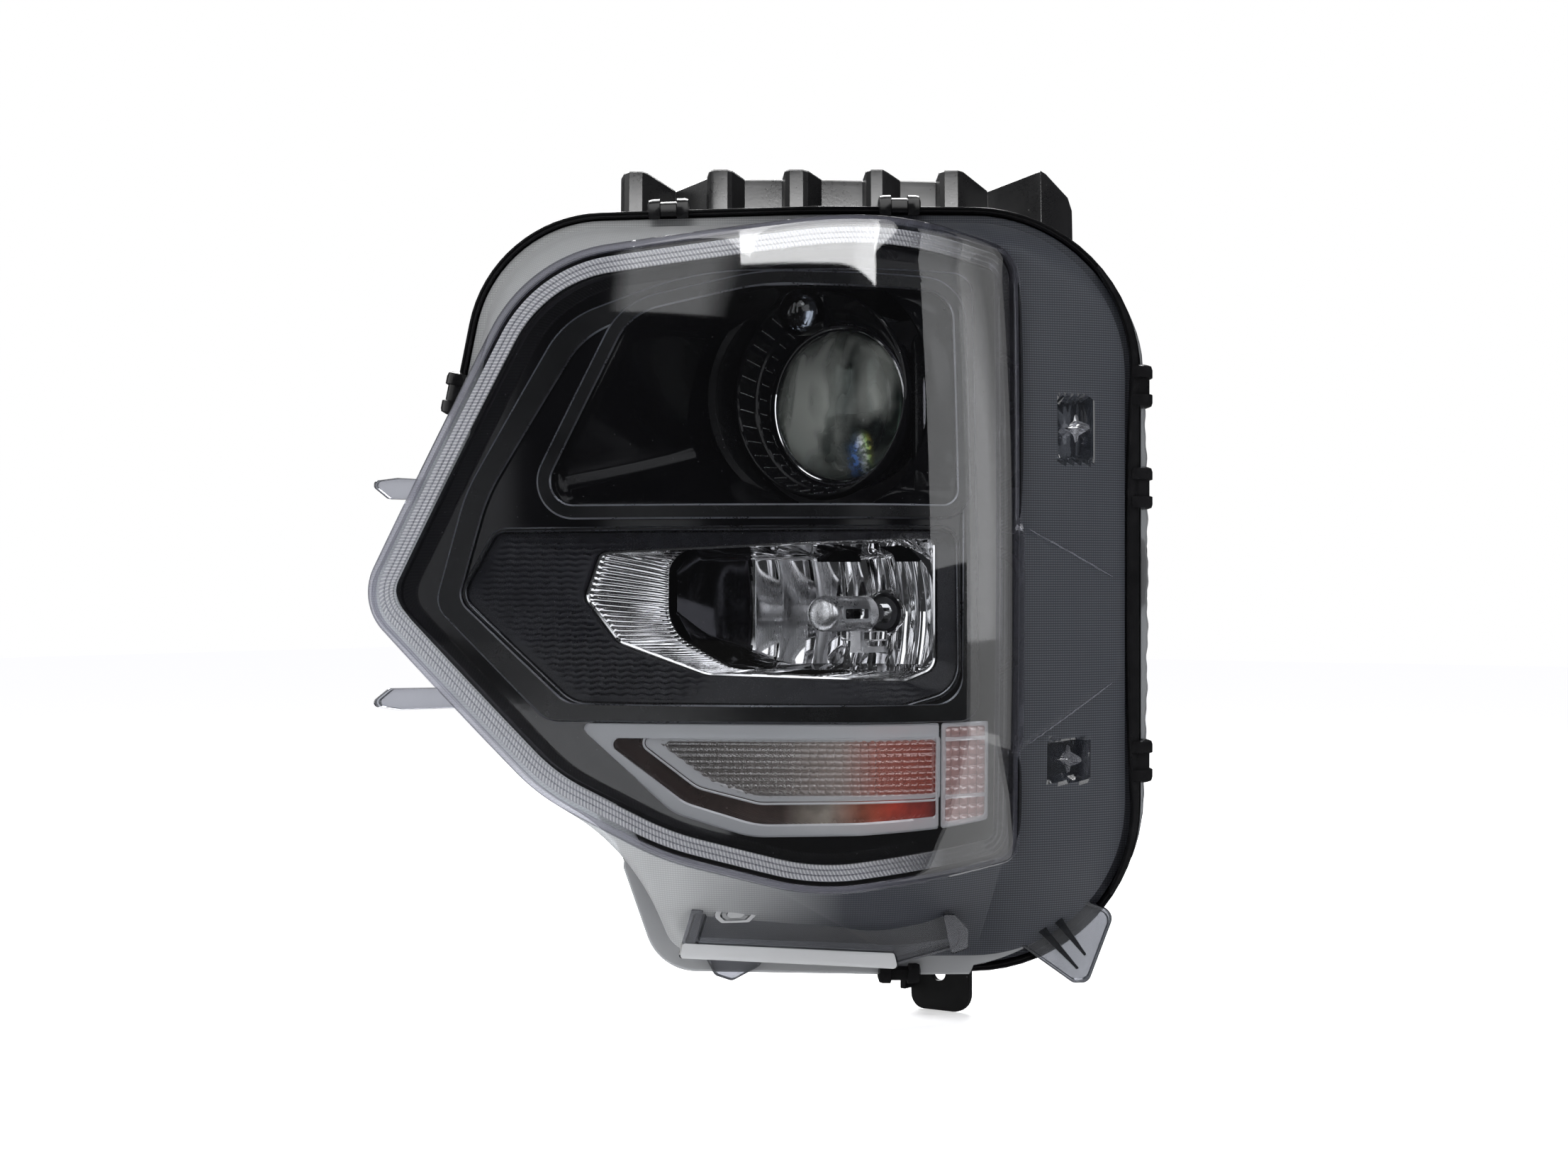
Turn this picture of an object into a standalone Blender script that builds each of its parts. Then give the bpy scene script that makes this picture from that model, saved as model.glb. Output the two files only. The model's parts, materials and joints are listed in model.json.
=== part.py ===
"""Car headlight assembly: left-hand lamp with a low-beam projector, a high-beam reflector, a turn
signal with side marker, an aimable carrier and twist-in bulbs and covers.

Vehicle axes: -Y is forward along the beam, +X is outboard, +Z is up. Lengths below are in millimetres
and become metres where points are made. The visible face is drawn in a face frame, turned by FACE_YAW
about Z: u runs across the face from inboard to outboard, z is up and w points out of the face.
"""

import math

import bmesh
import bpy
from mathutils import Matrix, Vector

MM = 0.001
FACE_YAW = math.radians(35.0)
SIN, COS = math.sin(FACE_YAW), math.cos(FACE_YAW)

# The lens face: a gentle bow inboard, a tight bow round the vehicle's corner outboard.
BOW_U, BOW_Z = 30.0, -20.0
BOW_INBOARD, BOW_OUTBOARD, BOW_VERTICAL = 472.0, 75.0, 900.0
FACE_CENTRE = (-25.0, 8.0)
FACE_CORNERS = [  # u, z, corner radius
    (-215, -7, 26), (-127, 164, 75), (46, 185, 260), (119, 171, 16),
    (117, -136, 8), (15, -149, 120), (-60, -131, 150), (-120, -102, 100),
]
RIM_CORNERS = [  # outer edge of the housing's sealing rim
    (-188, 16, 40), (-153, 194, 72), (15, 199, 300), (186, 198, 88),
    (186, -199, 88), (60, -200, 200), (-64, -198, 26), (-86, -135, 60),
]
REAR_CORNERS = [  # x, z of the housing's rear wall
    (-172, -5, 40), (-160, 152, 30), (-20, 160, 200), (66, 152, 25),
    (66, -152, 25), (0, -157, 100), (-80, -152, 20), (-122, -90, 20),
]
ARC_STEPS, SIDE_STEPS = 3, 2
RAYS = 40  # points round each liner, reflector and lens patch

LENS_WALL, SHELL_WALL, TRIM_WALL = 3.0, 2.5, 2.0
RIM_FRONT, RIM_FLOOR, LIP_FRONT = -103.0, -117.0, -107.0
GAP = 0.3
TILT_GAP = 4.5  # room for the carrier to tilt

# The bezel lies behind the lens face, inside its ribbed border.
BEZEL_INSET, BEZEL_DEPTH, BEZEL_RETURN = 12.0, 16.0, 5.0
UPPER_OPENING = [(-123, 41, 12), (-76, 136, 30), (-10, 150, 120), (84, 147, 14), (86, 41, 8)]
LOWER_OPENING = [(-162, -4, 10), (-143, 28, 8), (85, 29, 8), (86, -50, 16), (57, -58, 20), (-104, -57, 20)]
REFLECTOR_EDGE = [(-99, -5, 6), (-91, 18, 6), (75, 26, 5), (75, -40, 8), (60, -46, 8), (-38, -43, 20), (-82, -27, 10)]
TURN_OPENING = [(-104, -66, 4), (102, -66, 3), (102, -116, 4), (39, -121, 60), (-16, -122, 60), (-54, -110, 30)]
TURN_LENS = [(-101, -67, 3), (76, -67, 2), (76, -117.5, 2), (38, -120, 50), (-16, -121, 50), (-53, -109, 25)]
MARKER_LENS = [(78, -67, 2), (101, -67, 2), (101, -115, 3), (78, -117.3, 2)]

# Optical axes, all along -Y.
LOW_BEAM = Vector((-19.5, 78.0, 93.0))
LENS_RADIUS, LENS_SAG = 38.0, 15.0
TRIM_RADIUS, TRIM_FRONT, TRIM_LIFT = 50.0, 58.0, 4.5
HIGH_BEAM = Vector((-13.0, 112.0, -13.0))
TURN_BULB = Vector((-7.0, 92.0, -93.0))
MARKER_BULB = Vector((40.0, 142.0, -93.0))
PIVOT = Vector((0.0, 98.0, 40.0))
PIVOT_INBOARD, PIVOT_OUTBOARD, PIVOT_RADIUS = -134.0, 43.5, 3.0
ADJUSTER = Vector((-95.0, 98.0, -55.0))
REAR_Y = 212.0
SEAT = Vector((-9.0, 160.0, -219.0))  # rear face of the lower mounting tab, the origin of the part
SIDE_SEAT = Vector((80.0, 207.0, 8.0))


# ---------------------------------------------------------------- scene, materials

def clear_scene():
    for obj in list(bpy.data.objects):
        bpy.data.objects.remove(obj, do_unlink=True)


def new_collection(name):
    collection = bpy.data.collections.new(name)
    bpy.context.scene.collection.children.link(collection)
    return collection


def material(name, colour, roughness, metallic=0.0, alpha=1.0):
    made = bpy.data.materials.new(name)
    made.use_nodes = True
    shader = made.node_tree.nodes["Principled BSDF"]
    shader.inputs["Base Color"].default_value = (*colour, 1.0)
    shader.inputs["Roughness"].default_value = roughness
    shader.inputs["Metallic"].default_value = metallic
    shader.inputs["Alpha"].default_value = alpha
    made.diffuse_color = (*colour, alpha)
    return made


# ---------------------------------------------------------------- frames and outlines

def face_point(u, z, w):
    """A point of the face frame in vehicle axes."""
    return Vector((u * COS + w * SIN, u * SIN - w * COS, z))


def lens_depth(u, z):
    """w of the lens face's outer surface."""
    bow = BOW_INBOARD if u < BOW_U else BOW_OUTBOARD
    return -((u - BOW_U) ** 2) / (2 * bow) - (z - BOW_Z) ** 2 / (2 * BOW_VERTICAL)


def smoothstep(low, high, value):
    t = min(1.0, max(0.0, (value - low) / (high - low)))
    return t * t * (3 - 2 * t)


def rounded(corners, arc_steps=ARC_STEPS, side_steps=SIDE_STEPS):
    """Closed outline through rounded corners (a, b, radius), with the same count of points for each corner."""
    count = len(corners)
    arcs = []
    for i, (a, b, radius) in enumerate(corners):
        here = Vector((a, b))
        back = (Vector(corners[i - 1][:2]) - here).normalized()
        ahead = (Vector(corners[(i + 1) % count][:2]) - here).normalized()
        half = back.angle(ahead) / 2
        reach = radius / math.tan(half)
        centre = here + (back + ahead).normalized() * (radius / math.sin(half))
        start = here + back * reach - centre
        sweep = start.angle_signed(here + ahead * reach - centre)
        arcs.append([centre + Matrix.Rotation(-sweep * k / arc_steps, 2) @ start for k in range(arc_steps + 1)])
    outline = []
    for i, arc in enumerate(arcs):
        following = arcs[(i + 1) % count][0]
        outline += arc
        outline += [arc[-1].lerp(following, k / side_steps) for k in range(1, side_steps)]
    return outline


def offset(outline, distance):
    """The outline moved outwards by distance, or inwards if negative."""
    moved = []
    for i, here in enumerate(outline):
        along = (outline[(i + 1) % len(outline)] - outline[i - 1]).normalized()
        moved.append(here + Vector((-along.y, along.x)) * distance)
    return moved


def inset(corners, distance, least_radius=9.0):
    """The outline of a convex set of corners moved inwards, each corner keeping a sound radius."""
    moved = []
    for i, (a, b, radius) in enumerate(corners):
        here = Vector((a, b))
        back = (Vector(corners[i - 1][:2]) - here).normalized()
        ahead = (Vector(corners[(i + 1) % len(corners)][:2]) - here).normalized()
        half = back.angle(ahead) / 2
        point = here + (back + ahead).normalized() * (distance / math.sin(half))
        moved.append((point.x, point.y, max(radius - distance, least_radius)))
    return rounded(moved)


def from_centre(outline, centre, count):
    """count points of the outline at even angles round a centre, so that unlike outlines match up."""
    centre = Vector(centre)
    found = []
    for k in range(count):
        angle = -2 * math.pi * k / count
        ray = Vector((math.cos(angle), math.sin(angle)))
        best = 0.0
        for i, a in enumerate(outline):
            a, b = a - centre, outline[(i + 1) % len(outline)] - centre
            side = b - a
            cross = ray.x * side.y - ray.y * side.x
            if abs(cross) < 1e-9:
                continue
            reach = (a.x * side.y - a.y * side.x) / cross
            share = (a.x * ray.y - a.y * ray.x) / cross
            if -1e-6 <= share <= 1 + 1e-6 and reach > best:
                best = reach
        found.append(centre + ray * best)
    return found


def scaled(outline, centre, share):
    centre = Vector(centre)
    return [centre + (p - centre) * share for p in outline]


def on_face(outline, behind=0.0):
    """Points of a (u, z) outline laid on the lens face's shape, or this far behind it."""
    return [face_point(p.x, p.y, lens_depth(p.x, p.y) - behind) for p in outline]


def at_depth(outline, w):
    return [face_point(p.x, p.y, w) for p in outline]


# ---------------------------------------------------------------- building objects

def make(name, mesh_source, finish, collection=None):
    """An object from a bmesh whose points are in millimetres."""
    mesh = bpy.data.meshes.new(name)
    bmesh.ops.scale(mesh_source, vec=(MM, MM, MM), verts=mesh_source.verts)
    bmesh.ops.recalc_face_normals(mesh_source, faces=mesh_source.faces)
    mesh_source.to_mesh(mesh)
    mesh_source.free()
    mesh.shade_smooth()
    mesh.set_sharp_from_angle(angle=math.radians(35))
    return place(name, mesh, finish, collection)


def place(name, data, finish, collection=None):
    obj = bpy.data.objects.new(name, data)
    (collection or PARTS).objects.link(obj)
    obj.parent = FRAME
    if finish:
        data.materials.append(finish)
    if collection is CUTTERS:
        obj.hide_render = True
        obj.display_type = "WIRE"
    return obj


def loft(name, rings, finish, closed_start=False, closed_end=False, centres=None, collection=None):
    """A skin over rings of equal count. A closed end is a fan to a centre point."""
    source = bmesh.new()
    verts = [[source.verts.new(p) for p in ring] for ring in rings]
    count = len(rings[0])
    for one, two in zip(verts, verts[1:]):
        for i in range(count):
            j = (i + 1) % count
            source.faces.new((one[i], one[j], two[j], two[i]))
    for wanted, ring, key in ((closed_start, verts[0], 0), (closed_end, verts[-1], 1)):
        if not wanted:
            continue
        if centres and centres[key] is not None:
            middle = centres[key]
        else:
            middle = sum((v.co for v in ring), Vector()) / count
        hub = source.verts.new(middle)
        for i in range(count):
            source.faces.new((hub, ring[i], ring[(i + 1) % count]))
    return make(name, source, finish, collection)


def solid_loft(name, rings, finish, collection=None):
    return loft(name, rings, finish, True, True, None, collection)


def tube_loft(name, rings, finish):
    """A closed band: the last ring joins the first."""
    source = bmesh.new()
    verts = [[source.verts.new(p) for p in ring] for ring in rings]
    count = len(rings[0])
    for k, one in enumerate(verts):
        two = verts[(k + 1) % len(verts)]
        for i in range(count):
            j = (i + 1) % count
            source.faces.new((one[i], one[j], two[j], two[i]))
    return make(name, source, finish)


def thicken(obj, thickness, side=-1.0):
    """Solidify: side -1 grows the wall behind the surface's outward side."""
    wall = obj.modifiers.new("wall", "SOLIDIFY")
    wall.thickness = thickness * MM
    wall.offset = side
    wall.use_even_offset = True
    wall.use_quality_normals = True
    return obj


def boolean(obj, other, operation, solver="EXACT"):
    step = obj.modifiers.new(operation.lower(), "BOOLEAN")
    step.operation = operation
    step.solver = solver
    step.object = other
    return obj


def turned(name, profile, at, finish, steps=32, forward=True, axis="Y", collection=None):
    """A turned solid. The profile is (radius, distance along the axis) from the far end down its outer side.
    Axis Y puts far ends forward, or to the rear if forward is False; axis Z puts them up, axis X outboard."""
    closed = profile[0][0] > 0
    source = bmesh.new()
    points = [source.verts.new((r * MM, 0, h * MM)) for r, h in profile]
    for one, two in zip(points, points[1:]):
        source.edges.new((one, two))
    if closed:
        source.edges.new((points[-1], points[0]))
    mesh = bpy.data.meshes.new(name)
    source.to_mesh(mesh)
    source.free()
    obj = place(name, mesh, finish, collection)
    turn = obj.modifiers.new("turn", "SCREW")
    turn.steps = turn.render_steps = steps
    turn.use_merge_vertices = True
    turn.merge_threshold = 0.00001
    turn.use_smooth_shade = True
    obj.location = at * MM
    if axis == "Y":
        obj.rotation_euler.x = math.pi / 2 if forward else -math.pi / 2
    if axis == "X":
        obj.rotation_euler.y = math.pi / 2
    return obj


def turned_cutter(name, radius, start, end, at, steps=32, axis="Y"):
    profile = [(0, end), (radius, end), (radius, start), (0, start)]
    return turned(name, profile, at, None, steps, False, axis, CUTTERS)


def box(name, low, high, finish, bevel=0.0, collection=None):
    """A box from its low to its high corner, in vehicle axes."""
    low, high = Vector(low), Vector(high)
    source = bmesh.new()
    bmesh.ops.create_cube(source, size=1.0)
    for v in source.verts:
        v.co = Vector((low[k] + (v.co[k] + 0.5) * (high[k] - low[k]) for k in range(3)))
    obj = make(name, source, finish, collection)
    if bevel:
        edge = obj.modifiers.new("edges", "BEVEL")
        edge.width = bevel * MM
        edge.segments = 2
        edge.limit_method = "ANGLE"
    return obj


def plate(name, outline, depth_low, depth_high, to_point, finish, collection=None):
    """A flat plate: an outline swept between two depths, each point placed by to_point(a, b, depth)."""
    source = bmesh.new()
    ends = [[source.verts.new(to_point(p.x, p.y, d)) for p in outline] for d in (depth_low, depth_high)]
    count = len(outline)
    for i in range(count):
        j = (i + 1) % count
        source.faces.new((ends[0][i], ends[0][j], ends[1][j], ends[1][i]))
    source.faces.new(ends[0])
    source.faces.new(reversed(ends[1]))
    return make(name, source, finish, collection)


def facing_front(a, b, depth):
    return Vector((a, depth, b))


def facing_side(a, b, depth):
    return Vector((depth, a, b))


def facing_up(a, b, depth):
    return Vector((a, b, depth))


# ---------------------------------------------------------------- outer shells

def step_height(u, z):
    """How far the textured skirt starts behind the face's edge."""
    outboard = smoothstep(70, 112, u)
    below = smoothstep(40, 120, -z)
    return 6.0 + 7.0 * outboard + 3.0 * below * (1 - outboard)


def outer_lens():
    face = rounded(FACE_CORNERS)
    rim = offset(rounded(RIM_CORNERS), -9.0)
    foot = offset(face, 1.5)
    rings = [on_face(scaled(face, FACE_CENTRE, share)) for share in (0.25, 0.5, 0.75, 0.92, 1.0)]
    rings.append([
        face_point(q.x, q.y, lens_depth(p.x, p.y) - step_height(p.x, p.y)) for p, q in zip(face, foot)
    ])
    collar = at_depth(rim, LIP_FRONT + 8.0)
    rings.append([a.lerp(b, 0.5) + face_point(0, 0, 3.0) for a, b in zip(rings[-1], collar)])
    rings.append(collar)
    rings.append(at_depth(rim, LIP_FRONT))
    rings.append(at_depth(offset(rim, 5.0), LIP_FRONT))
    centre = on_face([Vector(FACE_CENTRE)])[0]
    lens = loft("outer_lens", rings, CLEAR, closed_start=True, centres=(centre, None))
    thicken(lens, LENS_WALL)
    for extra in (locating_ledge(), *side_fins(), *lens_lugs()):
        boolean(lens, extra, "UNION", "MANIFOLD")
    return lens


def locating_ledge():
    """The clear shelf under the face: a solid bar that leans out of the skirt."""
    front = [(-52, -186), (74, -186), (97, -178), (97, -168), (80, -160), (-46, -160)]
    outline = [Vector(p) for p in front]
    back = scaled(outline, (22, -172), 0.9)
    rings = [at_depth(back, -82.0), at_depth(outline, -62.0), at_depth(scaled(outline, (22, -172), 0.97), -56.0)]
    return solid_loft("ledge_shape", rings, None, CUTTERS)


def side_fins():
    """Two locating fins that stand out of the inboard skirt."""
    shapes = []
    for z, sign, reach in ((50.0, 1.0, -165.0), (-56.0, -1.0, -127.0)):
        points = ((reach, -5), (reach, 5), (-200, 7), (-216, 5), (-205, -4))
        outline = [Vector((u, z + sign * h)) for u, h in points]
        shapes.append(plate("fin_shape", outline, -98.0, -94.5, face_point, None, CUTTERS))
    return shapes


def lens_lugs():
    """Two ears under the skirt that take the lower lens screws."""
    right = [Vector(p) for p in ((112, -178), (150, -205), (158, -205), (172, -168), (150, -160))]
    left = [Vector(p) for p in ((-44, -186), (-36, -201), (-27, -204), (-12, -196), (-6, -180))]
    return [
        plate("lug_shape", right, -102.4, -98.4, face_point, None, CUTTERS),
        plate("lug_shape", left, -102.4, -98.4, face_point, None, CUTTERS),
    ]


def rear_depth(x, z):
    """y of the housing's rear wall: deep behind the beams, shallow behind the turn signal."""
    shallow = max(157.0, 0.7 * x + 160.0)
    return REAR_Y + (min(shallow, REAR_Y) - REAR_Y) * smoothstep(40, 110, -z)


def side_rings(grow=0.0):
    """The housing's side wall behind its rim, moved outwards by grow."""
    neck = at_depth(offset(rounded(RIM_CORNERS), grow - 11.0), RIM_FLOOR)
    rear = offset(rounded(REAR_CORNERS), grow + 3.0)
    edge = [Vector((p.x, max(n.y + 2.0, rear_depth(p.x, p.y) - 14.0), p.y)) for p, n in zip(rear, neck)]
    return [neck, [a.lerp(b, 0.5) for a, b in zip(neck, edge)], edge]


def housing():
    rim = rounded(RIM_CORNERS)
    rear = rounded(REAR_CORNERS)
    rings = [at_depth(rim, RIM_FRONT), at_depth(rim, RIM_FLOOR), *side_rings()]
    centre = (-45.0, 10.0)
    for share in (0.93, 0.7, 0.45, 0.2):
        rings.append([Vector((p.x, rear_depth(p.x, p.y), p.y)) for p in scaled(rear, centre, share)])
    shell = loft("housing", rings, CASING, closed_end=True, centres=(None, Vector((centre[0], REAR_Y, centre[1]))))
    thicken(shell, SHELL_WALL)
    for name, at, radius, end in REAR_NECKS:
        seat = Vector((at.x, 0, at.z))
        start = rear_depth(at.x, at.z) - 20.0
        neck_tube = turned(name + "_neck", [(0, end), (radius + 3.5, end), (radius + 3.5, start), (0, start)],
                           seat, None, 24, False, "Y", CUTTERS)
        boolean(shell, neck_tube, "UNION", "MANIFOLD")
    for name, at, radius, end in REAR_NECKS:
        seat = Vector((at.x, 0, at.z))
        boolean(shell, turned_cutter(name + "_bore", radius, 130.0, end + 10.0, seat, 24), "DIFFERENCE", "MANIFOLD")
    for tab in mounting_tabs():
        boolean(shell, tab, "UNION", "MANIFOLD")
    boolean(shell, turned_cutter("lower_bolt", 4.2, 130.0, 190.0, Vector((SEAT.x, 0, -205.0)), 24), "DIFFERENCE", "MANIFOLD")
    boolean(shell, turned_cutter("side_bolt", 3.0, 190.0, 240.0, Vector((SIDE_SEAT.x, 0, SIDE_SEAT.z)), 24), "DIFFERENCE", "MANIFOLD")
    return shell


def mounting_tabs():
    """The lower tab hangs under the rear wall and the side tab stands out of its outboard edge."""
    x, y = SEAT.x, SEAT.y
    outline = rounded([(x - 19, -148, 1), (x + 19, -148, 1), (x + 19, -225, 10), (x - 17, -225, 8)], 3, 1)
    lower = plate("lower_tab_shape", outline, y - 4.0, y, facing_front, None, CUTTERS)
    outline = rounded([(56, 28, 1), (89, 28, 8), (89, -12, 8), (56, -12, 1)], 3, 1)
    side = plate("side_tab_shape", outline, SIDE_SEAT.y - 4.0, SIDE_SEAT.y, facing_front, None, CUTTERS)
    return lower, side


def lens_seal():
    rim = rounded(RIM_CORNERS)
    front, back = LIP_FRONT - LENS_WALL - GAP, RIM_FLOOR + SHELL_WALL + GAP
    inner, outer = offset(rim, -9.0), offset(rim, -3.2)
    rings = [at_depth(inner, front), at_depth(outer, front), at_depth(outer, back), at_depth(inner, back)]
    return tube_loft("lens_seal", rings, SEALANT)


# ---------------------------------------------------------------- bezels and liners

def prism(name, corners, low, high):
    """A cutter through the face along w."""
    return plate(name, rounded(corners, 3, 2), low, high, face_point, None, CUTTERS)


def main_bezel():
    border = inset(FACE_CORNERS, BEZEL_INSET)
    rings = [on_face(scaled(border, FACE_CENTRE, share), BEZEL_DEPTH) for share in (0.3, 0.5, 0.65, 0.78, 0.9, 1.0)]
    rings.append([p + Vector((0, BEZEL_RETURN, 0)) for p in rings[-1]])
    centre = on_face([Vector(FACE_CENTRE)], BEZEL_DEPTH)[0]
    bezel = thicken(loft("main_bezel", rings, GLOSS_BLACK, closed_start=True, centres=(centre, None)), TRIM_WALL)
    for name, corners in (("upper_window", UPPER_OPENING), ("lower_window", LOWER_OPENING), ("turn_window", TURN_OPENING)):
        boolean(bezel, prism(name, corners, -110.0, 5.0), "DIFFERENCE")
    return bezel


def funnel(name, corners, inset, start_depth, inner, finish, wall=TRIM_WALL, count=RAYS, centre=None):
    """A liner from just inside a face opening back to an inner ring of points."""
    middle = centre or sum((Vector(c[:2]) for c in corners), Vector((0, 0))) / len(corners)
    outline = offset(from_centre(rounded(corners, 4, 3), middle, count), -inset)
    rings = [on_face(outline, start_depth), *inner(outline, middle, count)]
    return thicken(loft(name, rings, finish), wall, 1.0)


def upper_liner():
    def inner(outline, middle, count):
        hole = []
        for p in outline:
            ray = (p - middle).normalized()
            hole.append(Vector((LOW_BEAM.x + 60 * ray.x, TRIM_FRONT + 12, LOW_BEAM.z + TRIM_LIFT + 60 * ray.y)))
        floor = []
        for a, b in zip(on_face(outline, start), hole):
            floor.append(a.lerp(b, 0.6) + Vector((0, 0.2 * (b - a).length, 0)))
        return [floor, hole]
    start = BEZEL_DEPTH + TRIM_WALL + 2.6
    hub = Vector((LOW_BEAM.x * COS + (TRIM_FRONT + 12) * SIN, LOW_BEAM.z + TRIM_LIFT))
    return funnel("upper_chamber_liner", UPPER_OPENING, 0.5, start, inner, GLOSS_BLACK, centre=hub)


def lower_liner():
    edge_hub = Vector((-8.0, -10.0))

    def inner(outline, middle, count):
        edge = from_centre(rounded(REFLECTOR_EDGE, 4, 3), edge_hub, count)
        return [on_face(offset(edge, 0.8), BEZEL_DEPTH + 9)]
    start = BEZEL_DEPTH + TRIM_WALL + 1.6
    return funnel("lower_chamber_liner", LOWER_OPENING, 0.4, start, inner, GLOSS_BLACK, centre=edge_hub)


def reflector_mouth(x):
    """y of the slanted mouth of the high-beam reflector."""
    return 20.0 + 0.6 * (x + 80.0)


def mouth_ring(inset, shift, count):
    corners = [(-80, 22, 8), (34, 25, 6), (34, -42, 8), (-52, -42, 14), (-80, -22, 8)]
    outline = offset(from_centre(rounded(corners, 4, 3), (HIGH_BEAM.x, HIGH_BEAM.z), count), -inset)
    return [Vector((p.x, reflector_mouth(p.x) + shift, p.y)) for p in outline]


def flute_trim():
    hub = Vector((-8.0, -10.0))
    outline = offset(from_centre(rounded(REFLECTOR_EDGE, 4, 3), hub, RAYS), -0.2)
    start = on_face(outline, BEZEL_DEPTH + 12.5)
    rings = [start, [b + (a - b).normalized() * TILT_GAP for a, b in zip(start, mouth_ring(1.0, -1.5, RAYS))]]
    return thicken(loft("high_beam_flute_trim", rings, CHROME), 1.2, 1.0)


def patch(name, corners, centre, behind, finish, wall, count=RAYS):
    """A curved sheet that follows the lens face."""
    outline = from_centre(rounded(corners, 4, 3), centre, count)
    rings = [on_face(scaled(outline, centre, share), behind) for share in (0.35, 0.7, 1.0)]
    middle = on_face([Vector(centre)], behind)[0]
    return thicken(loft(name, rings, finish, closed_start=True, centres=(middle, None)), wall)


def turn_signal():
    lamp("turn_signal", TURN_LENS, (5.0, -92.0), TURN_BULB, 12.5)
    lamp("side_marker", MARKER_LENS, (90.0, -92.0), MARKER_BULB, 8.5)


def lamp(name, corners, centre, bulb, radius):
    """A lens patch and the reflector behind it, which narrows to a neck round its bulb."""
    patch(name + "_lens", corners, centre, BEZEL_DEPTH + 0.5, CLEAR, 2.5)
    centre = Vector(centre)
    outline = from_centre(rounded(corners, 4, 3), centre, RAYS)
    start = on_face(offset(outline, -2.4), BEZEL_DEPTH + 5.5)
    neck = []
    for p in outline:
        ray = (p - centre).normalized()
        neck.append(Vector((bulb.x + radius * ray.x, bulb.y + 10.0, bulb.z + radius * ray.y)))
    middle = [a.lerp(b, 0.55) + Vector((0, 0.04 * (b - a).length, 0)) for a, b in zip(start, neck)]
    thicken(loft(name + "_reflector", [start, middle, neck], CHROME), 1.5, 1.0)


# ---------------------------------------------------------------- projector and reflector on the carrier

def ellipse_bowl(radius, depth, wall, hole, steps=5):
    """(radius, forward) profile of an open bowl, mouth forward, with a bulb hole behind."""
    outer, inner = [], []
    last = math.acos(min(1.0, hole / radius))
    for k in range(steps + 1):
        angle = last * k / steps
        outer.append(((radius + wall) * math.cos(angle), -depth * math.sin(angle) - wall * math.sin(angle)))
        inner.append((radius * math.cos(angle), -depth * math.sin(angle)))
    return outer + inner[::-1]


def projector():
    at = LOW_BEAM
    dome = [(0, LENS_SAG)]
    for k in range(1, 6):
        share = k / 6
        dome.append((LENS_RADIUS * math.sin(share * math.pi / 2), LENS_SAG * math.cos(share * math.pi / 2)))
    dome += [(LENS_RADIUS, 0), (LENS_RADIUS, -4), (0, -4)]
    turned("projector_lens", dome, at, GLASS, 32)
    holder = [(41, 1), (41, -17.7), (33, -17.7), (33, -4.3), (38.3, -4.3), (38.3, 1)]
    turned("projector_lens_holder", holder, at, DARK_METAL, 32)
    trim_ring()
    bowl = ellipse_bowl(33.0, 62.0, 2.0, 11.0)
    bowl = [(48, 0), (48, -3), (35, -3), *bowl[1:], (33, 0)]
    turned("projector_bowl", bowl, Vector((at.x, 100.3, at.z)), CAST_METAL, 32)
    half = [Vector((at.x + 32.4 * math.cos(a), at.z + 32.4 * math.sin(a))) for a in
            [math.pi * (1 + k / 12) for k in range(13)]]
    half.append(Vector((at.x + 6, at.z + 0.5)))
    half.append(Vector((at.x - 6, at.z - 2.0)))
    plate("cutoff_shield", half, 97.0, 99.0, facing_front, DARK_METAL)


def trim_ring():
    """The cone round the projector's lens: its wide front stands higher than its foot."""
    front = LOW_BEAM.y - TRIM_FRONT
    profile = [(TRIM_RADIUS + 2, front), (TRIM_RADIUS + 2, front - 5), (44, 2), (44, -4), (41.6, -4), (41.6, 2), (TRIM_RADIUS, front)]
    rings = []
    for radius, forward in profile:
        lift = TRIM_LIFT * max(0.0, (forward - 2) / (front - 2))
        angles = [2 * math.pi * k / 32 for k in range(32)]
        rings.append([
            LOW_BEAM + Vector((radius * math.cos(a), -forward, lift + radius * math.sin(a))) for a in angles
        ])
    tube_loft("projector_trim_ring", rings, GLOSS_BLACK)


def high_beam_reflector():
    count = RAYS
    mouth = mouth_ring(0.0, 0.0, count)
    ring = [
        HIGH_BEAM + Vector((r * math.cos(-2 * math.pi * k / count), y - HIGH_BEAM.y, r * math.sin(-2 * math.pi * k / count)))
        for r, y in ((31.0, 97.0), (20.0, 107.0), (11.0, 111.0)) for k in range(count)
    ]
    rings = [mouth, [a.lerp(b, 0.45) for a, b in zip(mouth, ring[:count])]]
    rings += [ring[k * count:(k + 1) * count] for k in range(3)]
    thicken(loft("high_beam_reflector", rings, CHROME), 2.0, 1.0)
    cap = [(0, 62), (5, 62), (8, 60), (9, 56), (9, 22), (8, 22), (8, 55), (7, 58.5), (0, 60)]
    shield = turned("bulb_shield", cap, HIGH_BEAM, CHROME, 24)
    leg = box("shield_leg_shape", HIGH_BEAM + Vector((-3, -28, -19)), HIGH_BEAM + Vector((3, -18, -8.3)), None, 0, CUTTERS)
    boolean(shield, leg, "UNION")
    foot = box("shield_foot_shape", HIGH_BEAM + Vector((-4, -26, -20)), HIGH_BEAM + Vector((4, -6.5, -17)), None, 0, CUTTERS)
    boolean(shield, foot, "UNION")


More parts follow.
